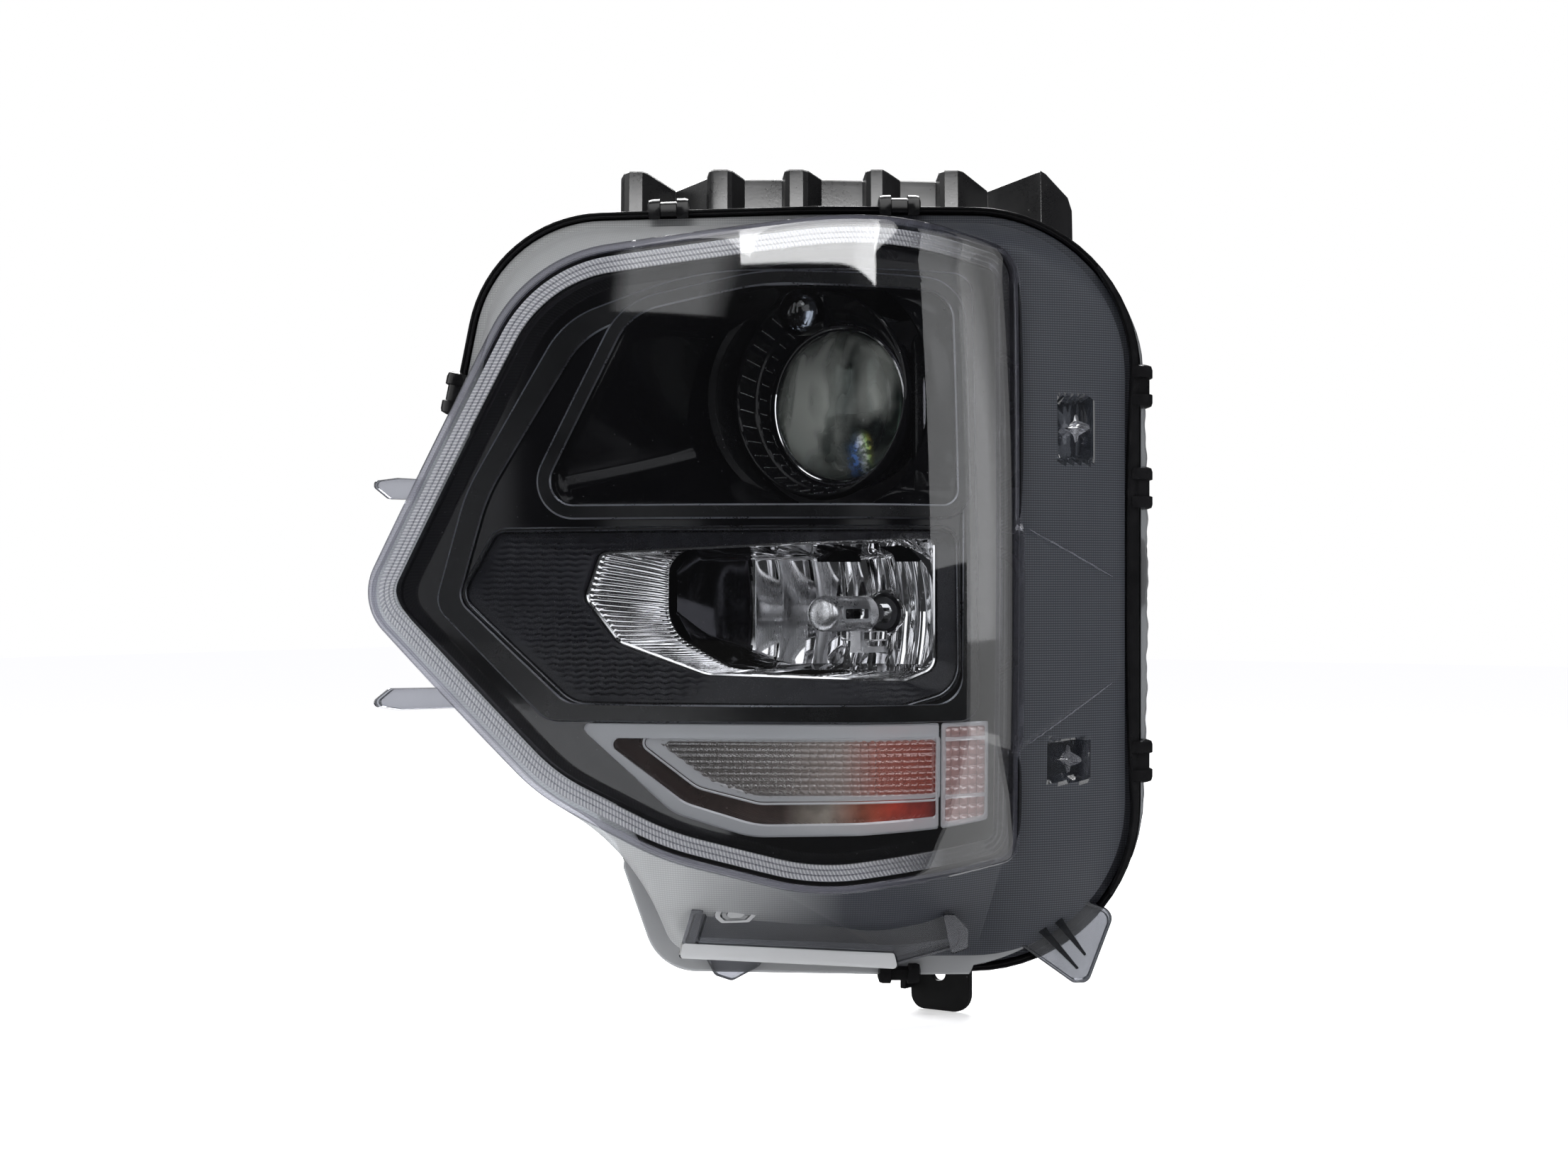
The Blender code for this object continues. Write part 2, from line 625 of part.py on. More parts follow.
def carrier():
    corners = [(-122, 136, 14), (38, 136, 14), (38, -62, 12), (-112, -62, 12)]
    frame = plate("carrier_frame", rounded(corners, 3, 1), 96.0, 100.0, facing_front, DARK_PLASTIC)
    boolean(frame, turned_cutter("low_hole", 40.0, 90.0, 110.0, Vector((LOW_BEAM.x, 0, LOW_BEAM.z)), 40), "DIFFERENCE")
    boolean(frame, turned_cutter("high_hole", 41.0, 90.0, 110.0, Vector((HIGH_BEAM.x, 0, HIGH_BEAM.z)), 40), "DIFFERENCE")
    for x in (PIVOT_INBOARD, PIVOT_OUTBOARD):
        sign = math.copysign(1.0, x)
        root = -112.0 if sign < 0 else 34.0
        ends = sorted((root, x + 3.0 * sign))
        pin = turned_cutter("pin_shape", PIVOT_RADIUS, ends[0], ends[1], Vector((0, PIVOT.y, PIVOT.z)), 20, "X")
        boolean(frame, pin, "UNION")
    boss = turned_cutter("nut_shape", 8.0, 92.0, 104.0, Vector((ADJUSTER.x, 0, ADJUSTER.z)), 20)
    boolean(frame, boss, "UNION")
    boolean(frame, turned_cutter("nut_bore", 3.8, 85.0, 110.0, Vector((ADJUSTER.x, 0, ADJUSTER.z)), 20), "DIFFERENCE")


def pivot_brackets():
    for name, x in (("pivot_bracket_inboard", PIVOT_INBOARD), ("pivot_bracket_outboard", PIVOT_OUTBOARD)):
        outline = [Vector(p) for p in ((90, 34), (90, 46), (96, 50), (200, 54), (REAR_Y - 3, 54), (REAR_Y - 3, 26), (200, 26), (96, 30))]
        arm = plate(name, outline, x - 2.0, x + 2.0, facing_side, DARK_PLASTIC)
        bore = turned_cutter("pivot_bore", PIVOT_RADIUS + GAP, x - 5, x + 5, Vector((0, PIVOT.y, PIVOT.z)), 20, "X")
        boolean(arm, bore, "DIFFERENCE")


def adjuster():
    """The aiming screw: a hex head outside the rear wall, a collar in its neck and a thread in the carrier's nut."""
    head = REAR_Y + 14.0
    profile = [(0, head + 8), (6.5, head + 8), (6.5, head), (4.6, head), (4.6, REAR_Y - 8), (3.0, REAR_Y - 8), (3.0, 84), (0, 84)]
    turned("adjuster_screw", profile, Vector((ADJUSTER.x, 0, ADJUSTER.z)), BRIGHT_METAL, 12, False)


def position_lamp():
    """A small domed lamp that hangs from the upper liner, over the projector's trim."""
    at = Vector((-17.0, 38.0, 136.5))
    dome = [(0, 8), (4.5, 6.9), (7.8, 4), (9, 0), (9, -6), (0, -6)]
    turned("position_lamp_lens", dome, at, CLEAR, 24)
    box("position_lamp_holder", at + Vector((-9, 6.3, -8)), at + Vector((9, 13, 9)), GLOSS_BLACK, 1.0)


# ---------------------------------------------------------------- bulbs, sockets, covers

def bulbs():
    low = Vector((LOW_BEAM.x, 100.3, LOW_BEAM.z))
    turned("low_beam_bulb", [(0, -20), (4, -21), (6, -25), (6, -52), (0, -52)], low, GLASS, 20)
    base = [(9, -52.5), (9, -66), (17, -66), (17, -72), (13, -72), (13, -92), (0, -92), (0, -52.5)]
    turned("low_beam_bulb_base", sorted_profile(base), low, BULB_BASE, 20)
    turned("high_beam_bulb", [(0, 38), (4, 37), (5.5, 33), (5.5, 4), (0, 4)], HIGH_BEAM, GLASS, 20)
    base = [(8.5, 3.5), (8.5, -3), (16, -3), (16, -9), (12, -9), (12, -30), (0, -30), (0, 3.5)]
    turned("high_beam_bulb_base", sorted_profile(base), HIGH_BEAM, BULB_BASE, 20)
    socket("turn_signal", TURN_BULB, 9.0, 14.0, AMBER)
    socket("side_marker", MARKER_BULB, 3.6, 10.0, AMBER)


def sorted_profile(points):
    """Starts a turned profile at its point on the axis."""
    return [points[-1], *points[:-1]]


def socket(name, at, bulb_radius, radius, finish):
    """A wedge bulb in a twist-in socket that closes its neck in the rear wall."""
    seat = rear_end(at, radius + 4.0) - at.y
    glass = [(0, -22), (bulb_radius * 0.7, -20), (bulb_radius, -14), (bulb_radius, 0), (bulb_radius * 0.5, 8), (0, 8)]
    turned(name + "_bulb", [(r, -h) for r, h in glass], at, finish, 20)
    body = [(0, 8.4), (radius - 4, 8.4), (radius - 4, seat + GAP), (radius + 2.5, seat + GAP), (radius + 2.5, seat + 5),
            (radius - 3, seat + 5), (radius - 3, seat + 16), (0, seat + 16)]
    turned(name + "_socket", [(r, -h) for r, h in body], at, SOCKET, 24)


def rear_end(at, radius):
    """y where a neck of this radius clears the sloping rear wall."""
    return rear_depth(at.x + radius, at.z + radius) + 4.0


def cover(name, at, radius):
    """A twist-off cover with a grip bar, standing on its neck."""
    seat = REAR_Y + 8.0
    profile = [(0, -seat - 6), (radius - 4, -seat - 6), (radius - 4, -seat - 6), (radius + 5.5, -seat - 5),
               (radius + 5.5, -seat + 6), (radius + 4.0, -seat + 6), (radius + 4.0, -seat - GAP), (0, -seat - GAP)]
    clean = [profile[0], profile[1], *profile[3:]]
    cap = turned(name, clean[::-1], Vector((at.x, 0, at.z)), COVER, 32)
    grip = box(name + "_grip_shape", (at.x - radius * 0.8, seat + 4, at.z - 3.5), (at.x + radius * 0.8, seat + 16, at.z + 3.5), None, 0, CUTTERS)
    boolean(cap, grip, "UNION")


# ---------------------------------------------------------------- brackets and fittings

def upper_bracket():
    """The corrugated support over the lamp: a folded wall seen from the front as fins and pockets."""
    start, stop, bays = -84.0, 152.0, 5
    front, back = [], []
    pitch = (stop - start) / bays
    for k in range(bays + 1):
        u = start + pitch * k
        front += [(u - 7, -134), (u - 5, -122), (u + 5, -122), (u + 8, -134)]
    front = [(max(start - 4, min(stop + 4, u)), w) for u, w in front]
    back = [(u, w - 3.0) for u, w in front[::-1]]
    source = bmesh.new()
    rings = []
    for z, lean in ((176.0, 1.4), (222.0, -4.0)):
        rings.append([source.verts.new(face_point(u, z, w + lean)) for u, w in front + back])
    count = len(rings[0])
    for i in range(count):
        j = (i + 1) % count
        source.faces.new((rings[0][i], rings[0][j], rings[1][j], rings[1][i]))
    source.faces.new(rings[0])
    source.faces.new(reversed(rings[1]))
    bracket = make("upper_support_bracket", source, CASING)
    clearance = solid_loft("bracket_seat_shape", side_rings(GAP), None, CUTTERS)
    return boolean(bracket, clearance, "DIFFERENCE", "MANIFOLD")


def nearest_on(outline, wanted):
    """The point of the outline nearest the wanted one, and the outline's direction there."""
    found = []
    for a, b in zip(outline, outline[1:] + outline[:1]):
        side = b - a
        share = min(1.0, max(0.0, (wanted - a).dot(side) / side.length_squared))
        point = a + side * share
        found.append(((point - wanted).length, point, side.normalized()))
    return min(found, key=lambda item: item[0])[1:]


def lens_clips():
    """Snap clips round the housing's rim, each along the rim where it stands."""
    rim = rounded(RIM_CORNERS)
    for number, wanted in enumerate(CLIP_PLACES, 1):
        point, along = nearest_on(rim, Vector(wanted))
        out = Vector((-along.y, along.x))
        outline = [point + out * side + along * h for side, h in CLIP_SHAPE]
        plate(f"lens_clip_{number}", outline, -116.0, -104.0, face_point, CLIP)


def vents_and_harness():
    for number, at in enumerate(((-130, 120), (-130, -20)), 1):
        y = rear_depth(*at)
        turned(f"vent_cap_{number}", [(0, y + 12), (8, y + 12), (8, y + GAP), (0, y + GAP)],
               Vector((at[0], 0, at[1])), SOCKET, 20, False)
    y = REAR_Y + GAP
    box("harness_connector", (-78, y, 38), (-52, y + 24, 56), SOCKET, 1.5)
    spline_points = [(-65, y + 24.5, 47), (-65, y + 34, 46), (-66, y + 38, 36), (-80, y + 36, 14), (-102, y + 34, -12), (-110, y + 29, -22), (-112, y + 22, -26), (-112, y + 14.4, -26)]
    curve = bpy.data.curves.new("wiring_harness", "CURVE")
    curve.dimensions = "3D"
    curve.bevel_depth = 4.0 * MM
    curve.bevel_resolution = 2
    curve.use_fill_caps = True
    spline = curve.splines.new("POLY")
    spline.points.add(len(spline_points) - 1)
    for point, co in zip(spline.points, spline_points):
        point.co = (*(Vector(co) * MM), 1.0)
    place("wiring_harness", curve, SOCKET)
    turned("harness_grommet", [(0, y + 14), (6, y + 14), (10, y + 6), (10, y), (0, y)],
           Vector((-112, 0, -26)), SEALANT, 20, False)


# ---------------------------------------------------------------- assembly

clear_scene()
PARTS = new_collection("car_headlight")
CUTTERS = new_collection("cutters")
FRAME = bpy.data.objects.new("part_frame", None)
PARTS.objects.link(FRAME)
FRAME.location = -SEAT * MM

CLEAR = material("clear_polycarbonate", (0.85, 0.88, 0.92), 0.05, 0.0, 0.3)
CASING = material("black_polypropylene", (0.02, 0.02, 0.022), 0.45)
GLOSS_BLACK = material("gloss_black_bezel", (0.008, 0.008, 0.01), 0.12)
DARK_PLASTIC = material("dark_grey_nylon", (0.05, 0.05, 0.055), 0.5)
SEALANT = material("black_butyl_and_rubber", (0.01, 0.01, 0.01), 0.6)
CHROME = material("vapour_chrome", (0.9, 0.9, 0.92), 0.05, 1.0)
DARK_METAL = material("dark_steel", (0.08, 0.08, 0.09), 0.3, 1.0)
CAST_METAL = material("cast_aluminium", (0.55, 0.56, 0.58), 0.4, 1.0)
BRIGHT_METAL = material("zinc_steel", (0.7, 0.7, 0.68), 0.3, 1.0)
GLASS = material("clear_glass", (0.9, 0.93, 0.95), 0.02, 0.0, 0.35)
AMBER = material("amber_glass", (0.9, 0.25, 0.02), 0.05, 0.0, 0.6)
BULB_BASE = material("bulb_base_plastic", (0.12, 0.12, 0.13), 0.4)
SOCKET = material("grey_socket_plastic", (0.14, 0.14, 0.15), 0.5)
COVER = material("cover_plastic", (0.03, 0.03, 0.032), 0.5)
CLIP = material("clip_plastic", (0.02, 0.02, 0.02), 0.35)

REAR_NECKS = [  # name, axis, bore radius, y of the neck's end
    ("low_cover", LOW_BEAM, 37.0, REAR_Y + 8.0),
    ("high_cover", HIGH_BEAM, 33.0, REAR_Y + 8.0),
    ("turn", TURN_BULB, 14.0, rear_end(TURN_BULB, 18.0)),
    ("marker", MARKER_BULB, 10.0, rear_end(MARKER_BULB, 14.0)),
    ("adjuster", ADJUSTER, 5.0, REAR_Y + 12.0),
]
CLIP_SHAPE = [(1.2, -11), (1.2, 11), (4.5, 9), (4.5, -9)]
CLIP_PLACES = [(186, 105), (186, 52), (186, -90), (-60, 197), (60, 199), (-165, 100), (60, -200)]

outer_lens()
housing()
lens_seal()
main_bezel()
upper_liner()
lower_liner()
flute_trim()
turn_signal()
projector()
high_beam_reflector()
carrier()
pivot_brackets()
adjuster()
bulbs()
cover("low_beam_cover", LOW_BEAM, 37.0)
cover("high_beam_cover", HIGH_BEAM, 33.0)
upper_bracket()
lens_clips()
vents_and_harness()
position_lamp()
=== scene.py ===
"""Looks of a car headlight assembly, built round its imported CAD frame.

Lengths in the shape code are in millimetres, in vehicle axes: -Y forward, +X outboard, +Z up. The visible
face is drawn in a face frame (u across, z up, w out of the face) turned by FACE_YAW about Z.
"""
import json
import math

import bmesh
import bpy
import numpy as np
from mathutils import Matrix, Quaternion, Vector

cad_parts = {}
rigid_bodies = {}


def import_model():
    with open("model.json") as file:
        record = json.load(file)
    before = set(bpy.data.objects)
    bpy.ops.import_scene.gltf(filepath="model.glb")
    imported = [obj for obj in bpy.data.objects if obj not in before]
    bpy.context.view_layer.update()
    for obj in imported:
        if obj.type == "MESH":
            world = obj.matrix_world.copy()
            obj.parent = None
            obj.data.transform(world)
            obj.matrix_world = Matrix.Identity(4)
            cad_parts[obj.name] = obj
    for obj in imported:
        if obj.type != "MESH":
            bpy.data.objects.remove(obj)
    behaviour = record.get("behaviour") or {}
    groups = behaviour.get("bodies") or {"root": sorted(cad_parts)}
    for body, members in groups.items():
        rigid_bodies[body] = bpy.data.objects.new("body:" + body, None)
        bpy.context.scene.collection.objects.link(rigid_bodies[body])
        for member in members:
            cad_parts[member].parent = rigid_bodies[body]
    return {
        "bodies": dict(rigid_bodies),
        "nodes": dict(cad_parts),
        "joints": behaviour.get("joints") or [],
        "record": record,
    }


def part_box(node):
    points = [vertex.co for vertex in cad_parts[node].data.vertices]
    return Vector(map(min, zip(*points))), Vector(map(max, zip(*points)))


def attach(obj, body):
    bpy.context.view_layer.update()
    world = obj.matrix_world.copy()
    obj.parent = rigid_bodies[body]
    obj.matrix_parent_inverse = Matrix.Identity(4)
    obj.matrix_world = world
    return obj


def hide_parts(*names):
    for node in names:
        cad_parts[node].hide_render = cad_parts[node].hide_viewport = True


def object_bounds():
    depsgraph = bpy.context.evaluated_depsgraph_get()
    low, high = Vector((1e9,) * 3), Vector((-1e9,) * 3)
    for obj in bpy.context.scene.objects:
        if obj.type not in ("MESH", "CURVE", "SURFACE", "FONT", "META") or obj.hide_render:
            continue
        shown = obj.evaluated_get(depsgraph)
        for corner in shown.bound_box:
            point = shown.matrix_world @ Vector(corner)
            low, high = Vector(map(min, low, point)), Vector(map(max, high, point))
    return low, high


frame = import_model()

CAD_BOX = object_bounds()
for startup in ("Cube", "Light", "Camera"):
    if startup in bpy.data.objects:
        bpy.data.objects.remove(bpy.data.objects[startup])

MM = 0.001
FACE_YAW = math.radians(35.0)
SIN, COS = math.sin(FACE_YAW), math.cos(FACE_YAW)
SEAT = np.array([-9.0, 160.0, -219.0])  # the part's origin, in vehicle axes

# The lens face and the outlines it is built from, as in the CAD model.
BOW_U, BOW_Z = 30.0, -20.0
BOW_INBOARD, BOW_OUTBOARD, BOW_VERTICAL = 472.0, 75.0, 900.0
FACE_CENTRE = (-25.0, 8.0)
FACE_CORNERS = [
    (-215, -7, 26), (-127, 164, 75), (46, 185, 260), (119, 171, 16),
    (117, -136, 8), (15, -149, 120), (-60, -131, 150), (-120, -102, 100),
]
RIM_CORNERS = [
    (-188, 16, 40), (-153, 194, 72), (15, 199, 300), (186, 198, 88),
    (186, -199, 88), (60, -200, 200), (-64, -198, 26), (-86, -135, 60),
]
REAR_CORNERS = [
    (-172, -5, 40), (-160, 152, 30), (-20, 160, 200), (66, 152, 25),
    (66, -152, 25), (0, -157, 100), (-80, -152, 20), (-122, -90, 20),
]
TRIM_WALL = 2.0
RIM_FRONT, RIM_FLOOR, LIP_FRONT = -103.0, -117.0, -107.0
BEZEL_INSET, BEZEL_DEPTH, BEZEL_RETURN = 12.0, 16.0, 5.0
UPPER_OPENING = [(-123, 41, 12), (-76, 136, 30), (-10, 150, 120), (84, 147, 14), (86, 41, 8)]
LOWER_OPENING = [(-162, -4, 10), (-143, 28, 8), (85, 29, 8), (86, -50, 16), (57, -58, 20), (-104, -57, 20)]
REFLECTOR_EDGE = [(-99, -5, 6), (-91, 18, 6), (75, 26, 5), (75, -40, 8), (60, -46, 8), (-38, -43, 20),
                  (-82, -27, 10)]
TURN_OPENING = [(-104, -66, 4), (102, -66, 3), (102, -116, 4), (39, -121, 60), (-16, -122, 60),
                (-54, -110, 30)]
REAR_Y = 212.0  # the housing's flat back
GLASS_SEAT = 4.0  # how far the projector glass's seat is before its back
HIGH_BEAM_DEPTH = 112.0  # the root of the high-beam bulb


def from_row(corner):
    """A point of the row frame, in millimetres and vehicle axes."""
    return np.array(corner) * 1000.0 + SEAT


def middle(node):
    low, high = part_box(node)
    return from_row((low + high) / 2)


def on_axis_of(node, depth):
    """The point at this depth on the axis of a node that runs front to back."""
    spot = middle(node)
    return np.array([spot[0], depth, spot[2]])


LOW_BEAM = on_axis_of("projector_lens", from_row(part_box("projector_lens")[1])[1] - GLASS_SEAT)
HIGH_BEAM = on_axis_of("high_beam_bulb", HIGH_BEAM_DEPTH)
TRIM_FRONT = from_row(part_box("projector_trim_ring")[0])[1]
TRIM_LIFT = 4.5
ADJUSTER = middle("adjuster_screw")


# ---------------------------------------------------------------- outlines

def rounded(corners, arc_steps=16, side_steps=40):
    """Closed outline through rounded corners (a, b, radius), the same count of points for each corner."""
    count = len(corners)
    arcs = []
    for i, (a, b, radius) in enumerate(corners):
        here = Vector((a, b))
        back = (Vector(corners[i - 1][:2]) - here).normalized()
        ahead = (Vector(corners[(i + 1) % count][:2]) - here).normalized()
        half = back.angle(ahead) / 2
        centre = here + (back + ahead).normalized() * (radius / math.sin(half))
        reach = radius / math.tan(half)
        start = here + back * reach - centre
        sweep = start.angle_signed(here + ahead * reach - centre)
        angles = [-sweep * k / arc_steps for k in range(arc_steps + 1)]
        arcs.append([
            (centre.x + start.x * math.cos(t) - start.y * math.sin(t),
             centre.y + start.x * math.sin(t) + start.y * math.cos(t))
            for t in angles
        ])
    line = []
    for i, arc in enumerate(arcs):
        end, following = np.array(arc[-1]), np.array(arcs[(i + 1) % count][0])
        line += arc
        line += [tuple(end + (following - end) * k / side_steps) for k in range(1, side_steps)]
    return np.array(line)


def grown(line, distance):
    """The outline moved outwards, or inwards if distance is negative."""
    along = np.roll(line, -1, 0) - np.roll(line, 1, 0)
    along /= np.linalg.norm(along, axis=1)[:, None]
    return line + np.stack([-along[:, 1], along[:, 0]], 1) * distance


def inset_corners(corners, distance, least_radius=9.0):
    moved = []
    for i, (a, b, radius) in enumerate(corners):
        here = Vector((a, b))
        back = (Vector(corners[i - 1][:2]) - here).normalized()
        ahead = (Vector(corners[(i + 1) % len(corners)][:2]) - here).normalized()
        half = back.angle(ahead) / 2
        point = here + (back + ahead).normalized() * (distance / math.sin(half))
        moved.append((point.x, point.y, max(radius - distance, least_radius)))
    return moved


def from_centre(line, centre, count):
    """count points of the outline at even angles round a centre, so that unlike outlines match up."""
    a = line - np.array(centre)
    b = np.roll(a, -1, 0)
    side = b - a
    found = []
    for k in range(count):
        angle = -2 * math.pi * k / count
        ray = np.array([math.cos(angle), math.sin(angle)])
        cross = ray[0] * side[:, 1] - ray[1] * side[:, 0]
        cross = np.where(np.abs(cross) < 1e-9, 1e-9, cross)
        reach = (a[:, 0] * side[:, 1] - a[:, 1] * side[:, 0]) / cross
        share = (a[:, 0] * ray[1] - a[:, 1] * ray[0]) / cross
        good = (share >= -1e-6) & (share <= 1 + 1e-6)
        found.append(np.array(centre) + ray * np.max(np.where(good, reach, 0)))
    return np.array(found)


def even(line, count):
    """The closed outline again with its points evenly spaced."""
    closed = np.vstack([line, line[:1]])
    run = np.concatenate([[0], np.cumsum(np.linalg.norm(np.diff(closed, axis=0), axis=1))])
    want = np.linspace(0, run[-1], count, endpoint=False)
    return np.stack([np.interp(want, run, closed[:, k]) for k in range(line.shape[1])], 1)


def scaled(line, centre, share):
    return np.array(centre) + (line - np.array(centre)) * share


def fine(corners):
    """A rounded outline of close points; those with the same number of corners match point for point."""
    return rounded(corners, 24, 110)


def coarse(corners):
    return rounded(corners, 12, 12)


def smoothstep(low, high, value):
    t = np.clip((value - low) / (high - low), 0, 1)
    return t * t * (3 - 2 * t)


def lens_depth(u, z):
    bow = np.where(u < BOW_U, BOW_INBOARD, BOW_OUTBOARD)
    return -((u - BOW_U) ** 2) / (2 * bow) - (z - BOW_Z) ** 2 / (2 * BOW_VERTICAL)


def face_points(u, z, w):
    u, z, w = np.broadcast_arrays(np.asarray(u, float), np.asarray(z, float), np.asarray(w, float))
    return np.stack([u * COS + w * SIN, u * SIN - w * COS, z], -1)


def on_face(line, behind=0.0):
    return face_points(line[:, 0], line[:, 1], lens_depth(line[:, 0], line[:, 1]) - behind)


def at_depth(line, w):
    return face_points(line[:, 0], line[:, 1], w)


FACE_NORMAL = face_points(0, 0, 1.0)
FACE_LINE, RIM_LINE = fine(FACE_CORNERS), fine(RIM_CORNERS)


# ---------------------------------------------------------------- mesh building

def grid_faces(rows, columns, wrap_columns=True, wrap_rows=False):
    faces = []
    for i in range(rows if wrap_rows else rows - 1):
        one, two = i * columns, ((i + 1) % rows) * columns
        for j in range(columns if wrap_columns else columns - 1):
            k = (j + 1) % columns
            faces.append((one + j, one + k, two + k, two + j))
    return faces


def piece(name, points, faces, finish, body="lamp_body", slot=None, stands_for=(), index=None, sharp=35.0):
    """A mesh piece from points in millimetres and vehicle axes, riding on a CAD body."""
    mesh = bpy.data.meshes.new(name)
    mesh.from_pydata(((np.asarray(points) - SEAT) * MM).tolist(), [], faces)
    for one in finish if isinstance(finish, (list, tuple)) else [finish]:
        mesh.materials.append(one)
    if index is not None:
        mesh.polygons.foreach_set("material_index", index)
    source = bmesh.new()
    source.from_mesh(mesh)
    bmesh.ops.remove_doubles(source, verts=source.verts, dist=1e-7)
    bmesh.ops.recalc_face_normals(source, faces=source.faces)
    source.to_mesh(mesh)
    source.free()
    mesh.shade_smooth()
    mesh.set_sharp_from_angle(angle=math.radians(sharp))
    obj = bpy.data.objects.new(name, mesh)
    bpy.context.scene.collection.objects.link(obj)
    if body:
        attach(obj, body)
    if stands_for:
        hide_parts(*stands_for)
    return obj


def loft(name, rings, finish, cap_start=False, cap_end=False, ends=(None, None), loop=False, **more):
    """A skin over closed rings of equal count; a capped end is a fan to a middle point."""
    count = len(rings[0])
    points = list(np.vstack(rings))
    faces = grid_faces(len(rings), count, True, loop)
    for wanted, start, end in ((cap_start, 0, ends[0]), (cap_end, (len(rings) - 1) * count, ends[1])):
        if not wanted:
            continue
        hub = len(points)
        points.append(np.mean(rings[0 if start == 0 else -1], 0) if end is None else end)
        faces += [(hub, start + i, start + (i + 1) % count) for i in range(count)]
    return piece(name, np.array(points), faces, finish, **more)


def thicken(obj, thickness, side=-1.0, even_offset=True):
    """A wall of this many millimetres, inwards for side -1 and outwards for 1."""
    wall = obj.modifiers.new("wall", "SOLIDIFY")
    wall.thickness = thickness * MM
    wall.offset = side
    wall.use_even_offset = even_offset
    wall.use_quality_normals = True
    return obj


def bevel(obj, width, segments=2, angle=35.0):
    edge = obj.modifiers.new("edges", "BEVEL")
    edge.width = width * MM
    edge.segments = segments
    edge.limit_method = "ANGLE"
    edge.angle_limit = math.radians(angle)
    edge.harden_normals = True
    return obj


def applied(obj):
    """Bakes the modifiers into the object's mesh."""
    bpy.context.view_layer.update()
    baked = bpy.data.meshes.new_from_object(obj.evaluated_get(bpy.context.evaluated_depsgraph_get()))
    obj.modifiers.clear()
    obj.data = baked
    return obj


def combine(obj, cutters, operation, solver="EXACT", sharp=35.0):
    """Boolean with each cutter in turn, baked, with the cutters removed."""
    for cutter in cutters:
        step = obj.modifiers.new("step", "BOOLEAN")
        step.operation = operation
        step.solver = solver
        step.object = cutter
    applied(obj)
    for cutter in cutters:
        bpy.data.objects.remove(cutter)
    obj.data.set_sharp_from_angle(angle=math.radians(sharp))
    return obj


def circle(at, radius, y, angles):
    """Points at these angles round an upright circle; radius and y may be numbers or one for each angle."""
    across, up = at[0] + radius * np.cos(angles), at[2] + radius * np.sin(angles)
    return np.stack(np.broadcast_arrays(across, y, up), 1)


def full_turn(count):
    return 2 * math.pi * np.arange(count) / count


def turned(name, profile, at, finish, steps=96, forward=True, **more):
    """A turned solid. The profile, (radius, distance along the axis), closes on itself or on the axis."""
    sign = -1.0 if forward else 1.0
    rings = [circle(at, max(radius, 1e-4), at[1] + sign * h, full_turn(steps)) for radius, h in profile]
    on_axis = profile[0][0] == 0
    if on_axis:
        ends = (rings[0].mean(0), rings[-1].mean(0))
        return loft(name, rings[1:-1], finish, True, True, ends, **more)
    return loft(name, rings, finish, loop=True, **more)


def box(name, low, high, finish, **more):
    low, high = np.asarray(low, float), np.asarray(high, float)
    points = [[(low, high)[i >> k & 1][k] for k in range(3)] for i in range(8)]
    faces = [(0, 2, 3, 1), (4, 5, 7, 6), (0, 1, 5, 4), (2, 6, 7, 3), (0, 4, 6, 2), (1, 3, 7, 5)]
    return piece(name, points, faces, finish, **more)


def plate(name, line, low, high, place, finish, **more):
    """An outline swept between two depths; place(a, b, depth) puts each point."""
    count = len(line)
    points = np.vstack([place(line[:, 0], line[:, 1], low), place(line[:, 0], line[:, 1], high)])
    faces = grid_faces(2, count) + [tuple(range(count)), tuple(range(2 * count - 1, count - 1, -1))]
    return piece(name, points, faces, finish, **more)


def facing_front(a, b, depth):
    return np.stack(np.broadcast_arrays(a, depth, b), -1)


def bar(name, lines, finish, **more):
    """A bar with lengthwise lines of equal count round it, closed at both ends."""
    size, count = len(lines), len(lines[0])
    faces = grid_faces(size, count, False, True)
    faces.append(tuple(i * count for i in range(size)))
    faces.append(tuple(i * count + count - 1 for i in reversed(range(size))))
    return piece(name, np.vstack(lines), faces, finish, **more)


def prism(name, one, two, finish, **more):
    """A solid between two matching loops of points."""
    size = len(one)
    faces = [tuple(range(size)), tuple(range(2 * size - 1, size - 1, -1))]
    faces += [(i, i + size, (i + 1) % size + size, (i + 1) % size) for i in range(size)]
    return piece(name, [*one, *two], faces, finish, **more)


def block(name, low, high, width, segments, finish, **more):
    """A box with rounded edges."""
    return bevel(box(name, low, high, finish, **more), width, segments)


# ---------------------------------------------------------------- materials

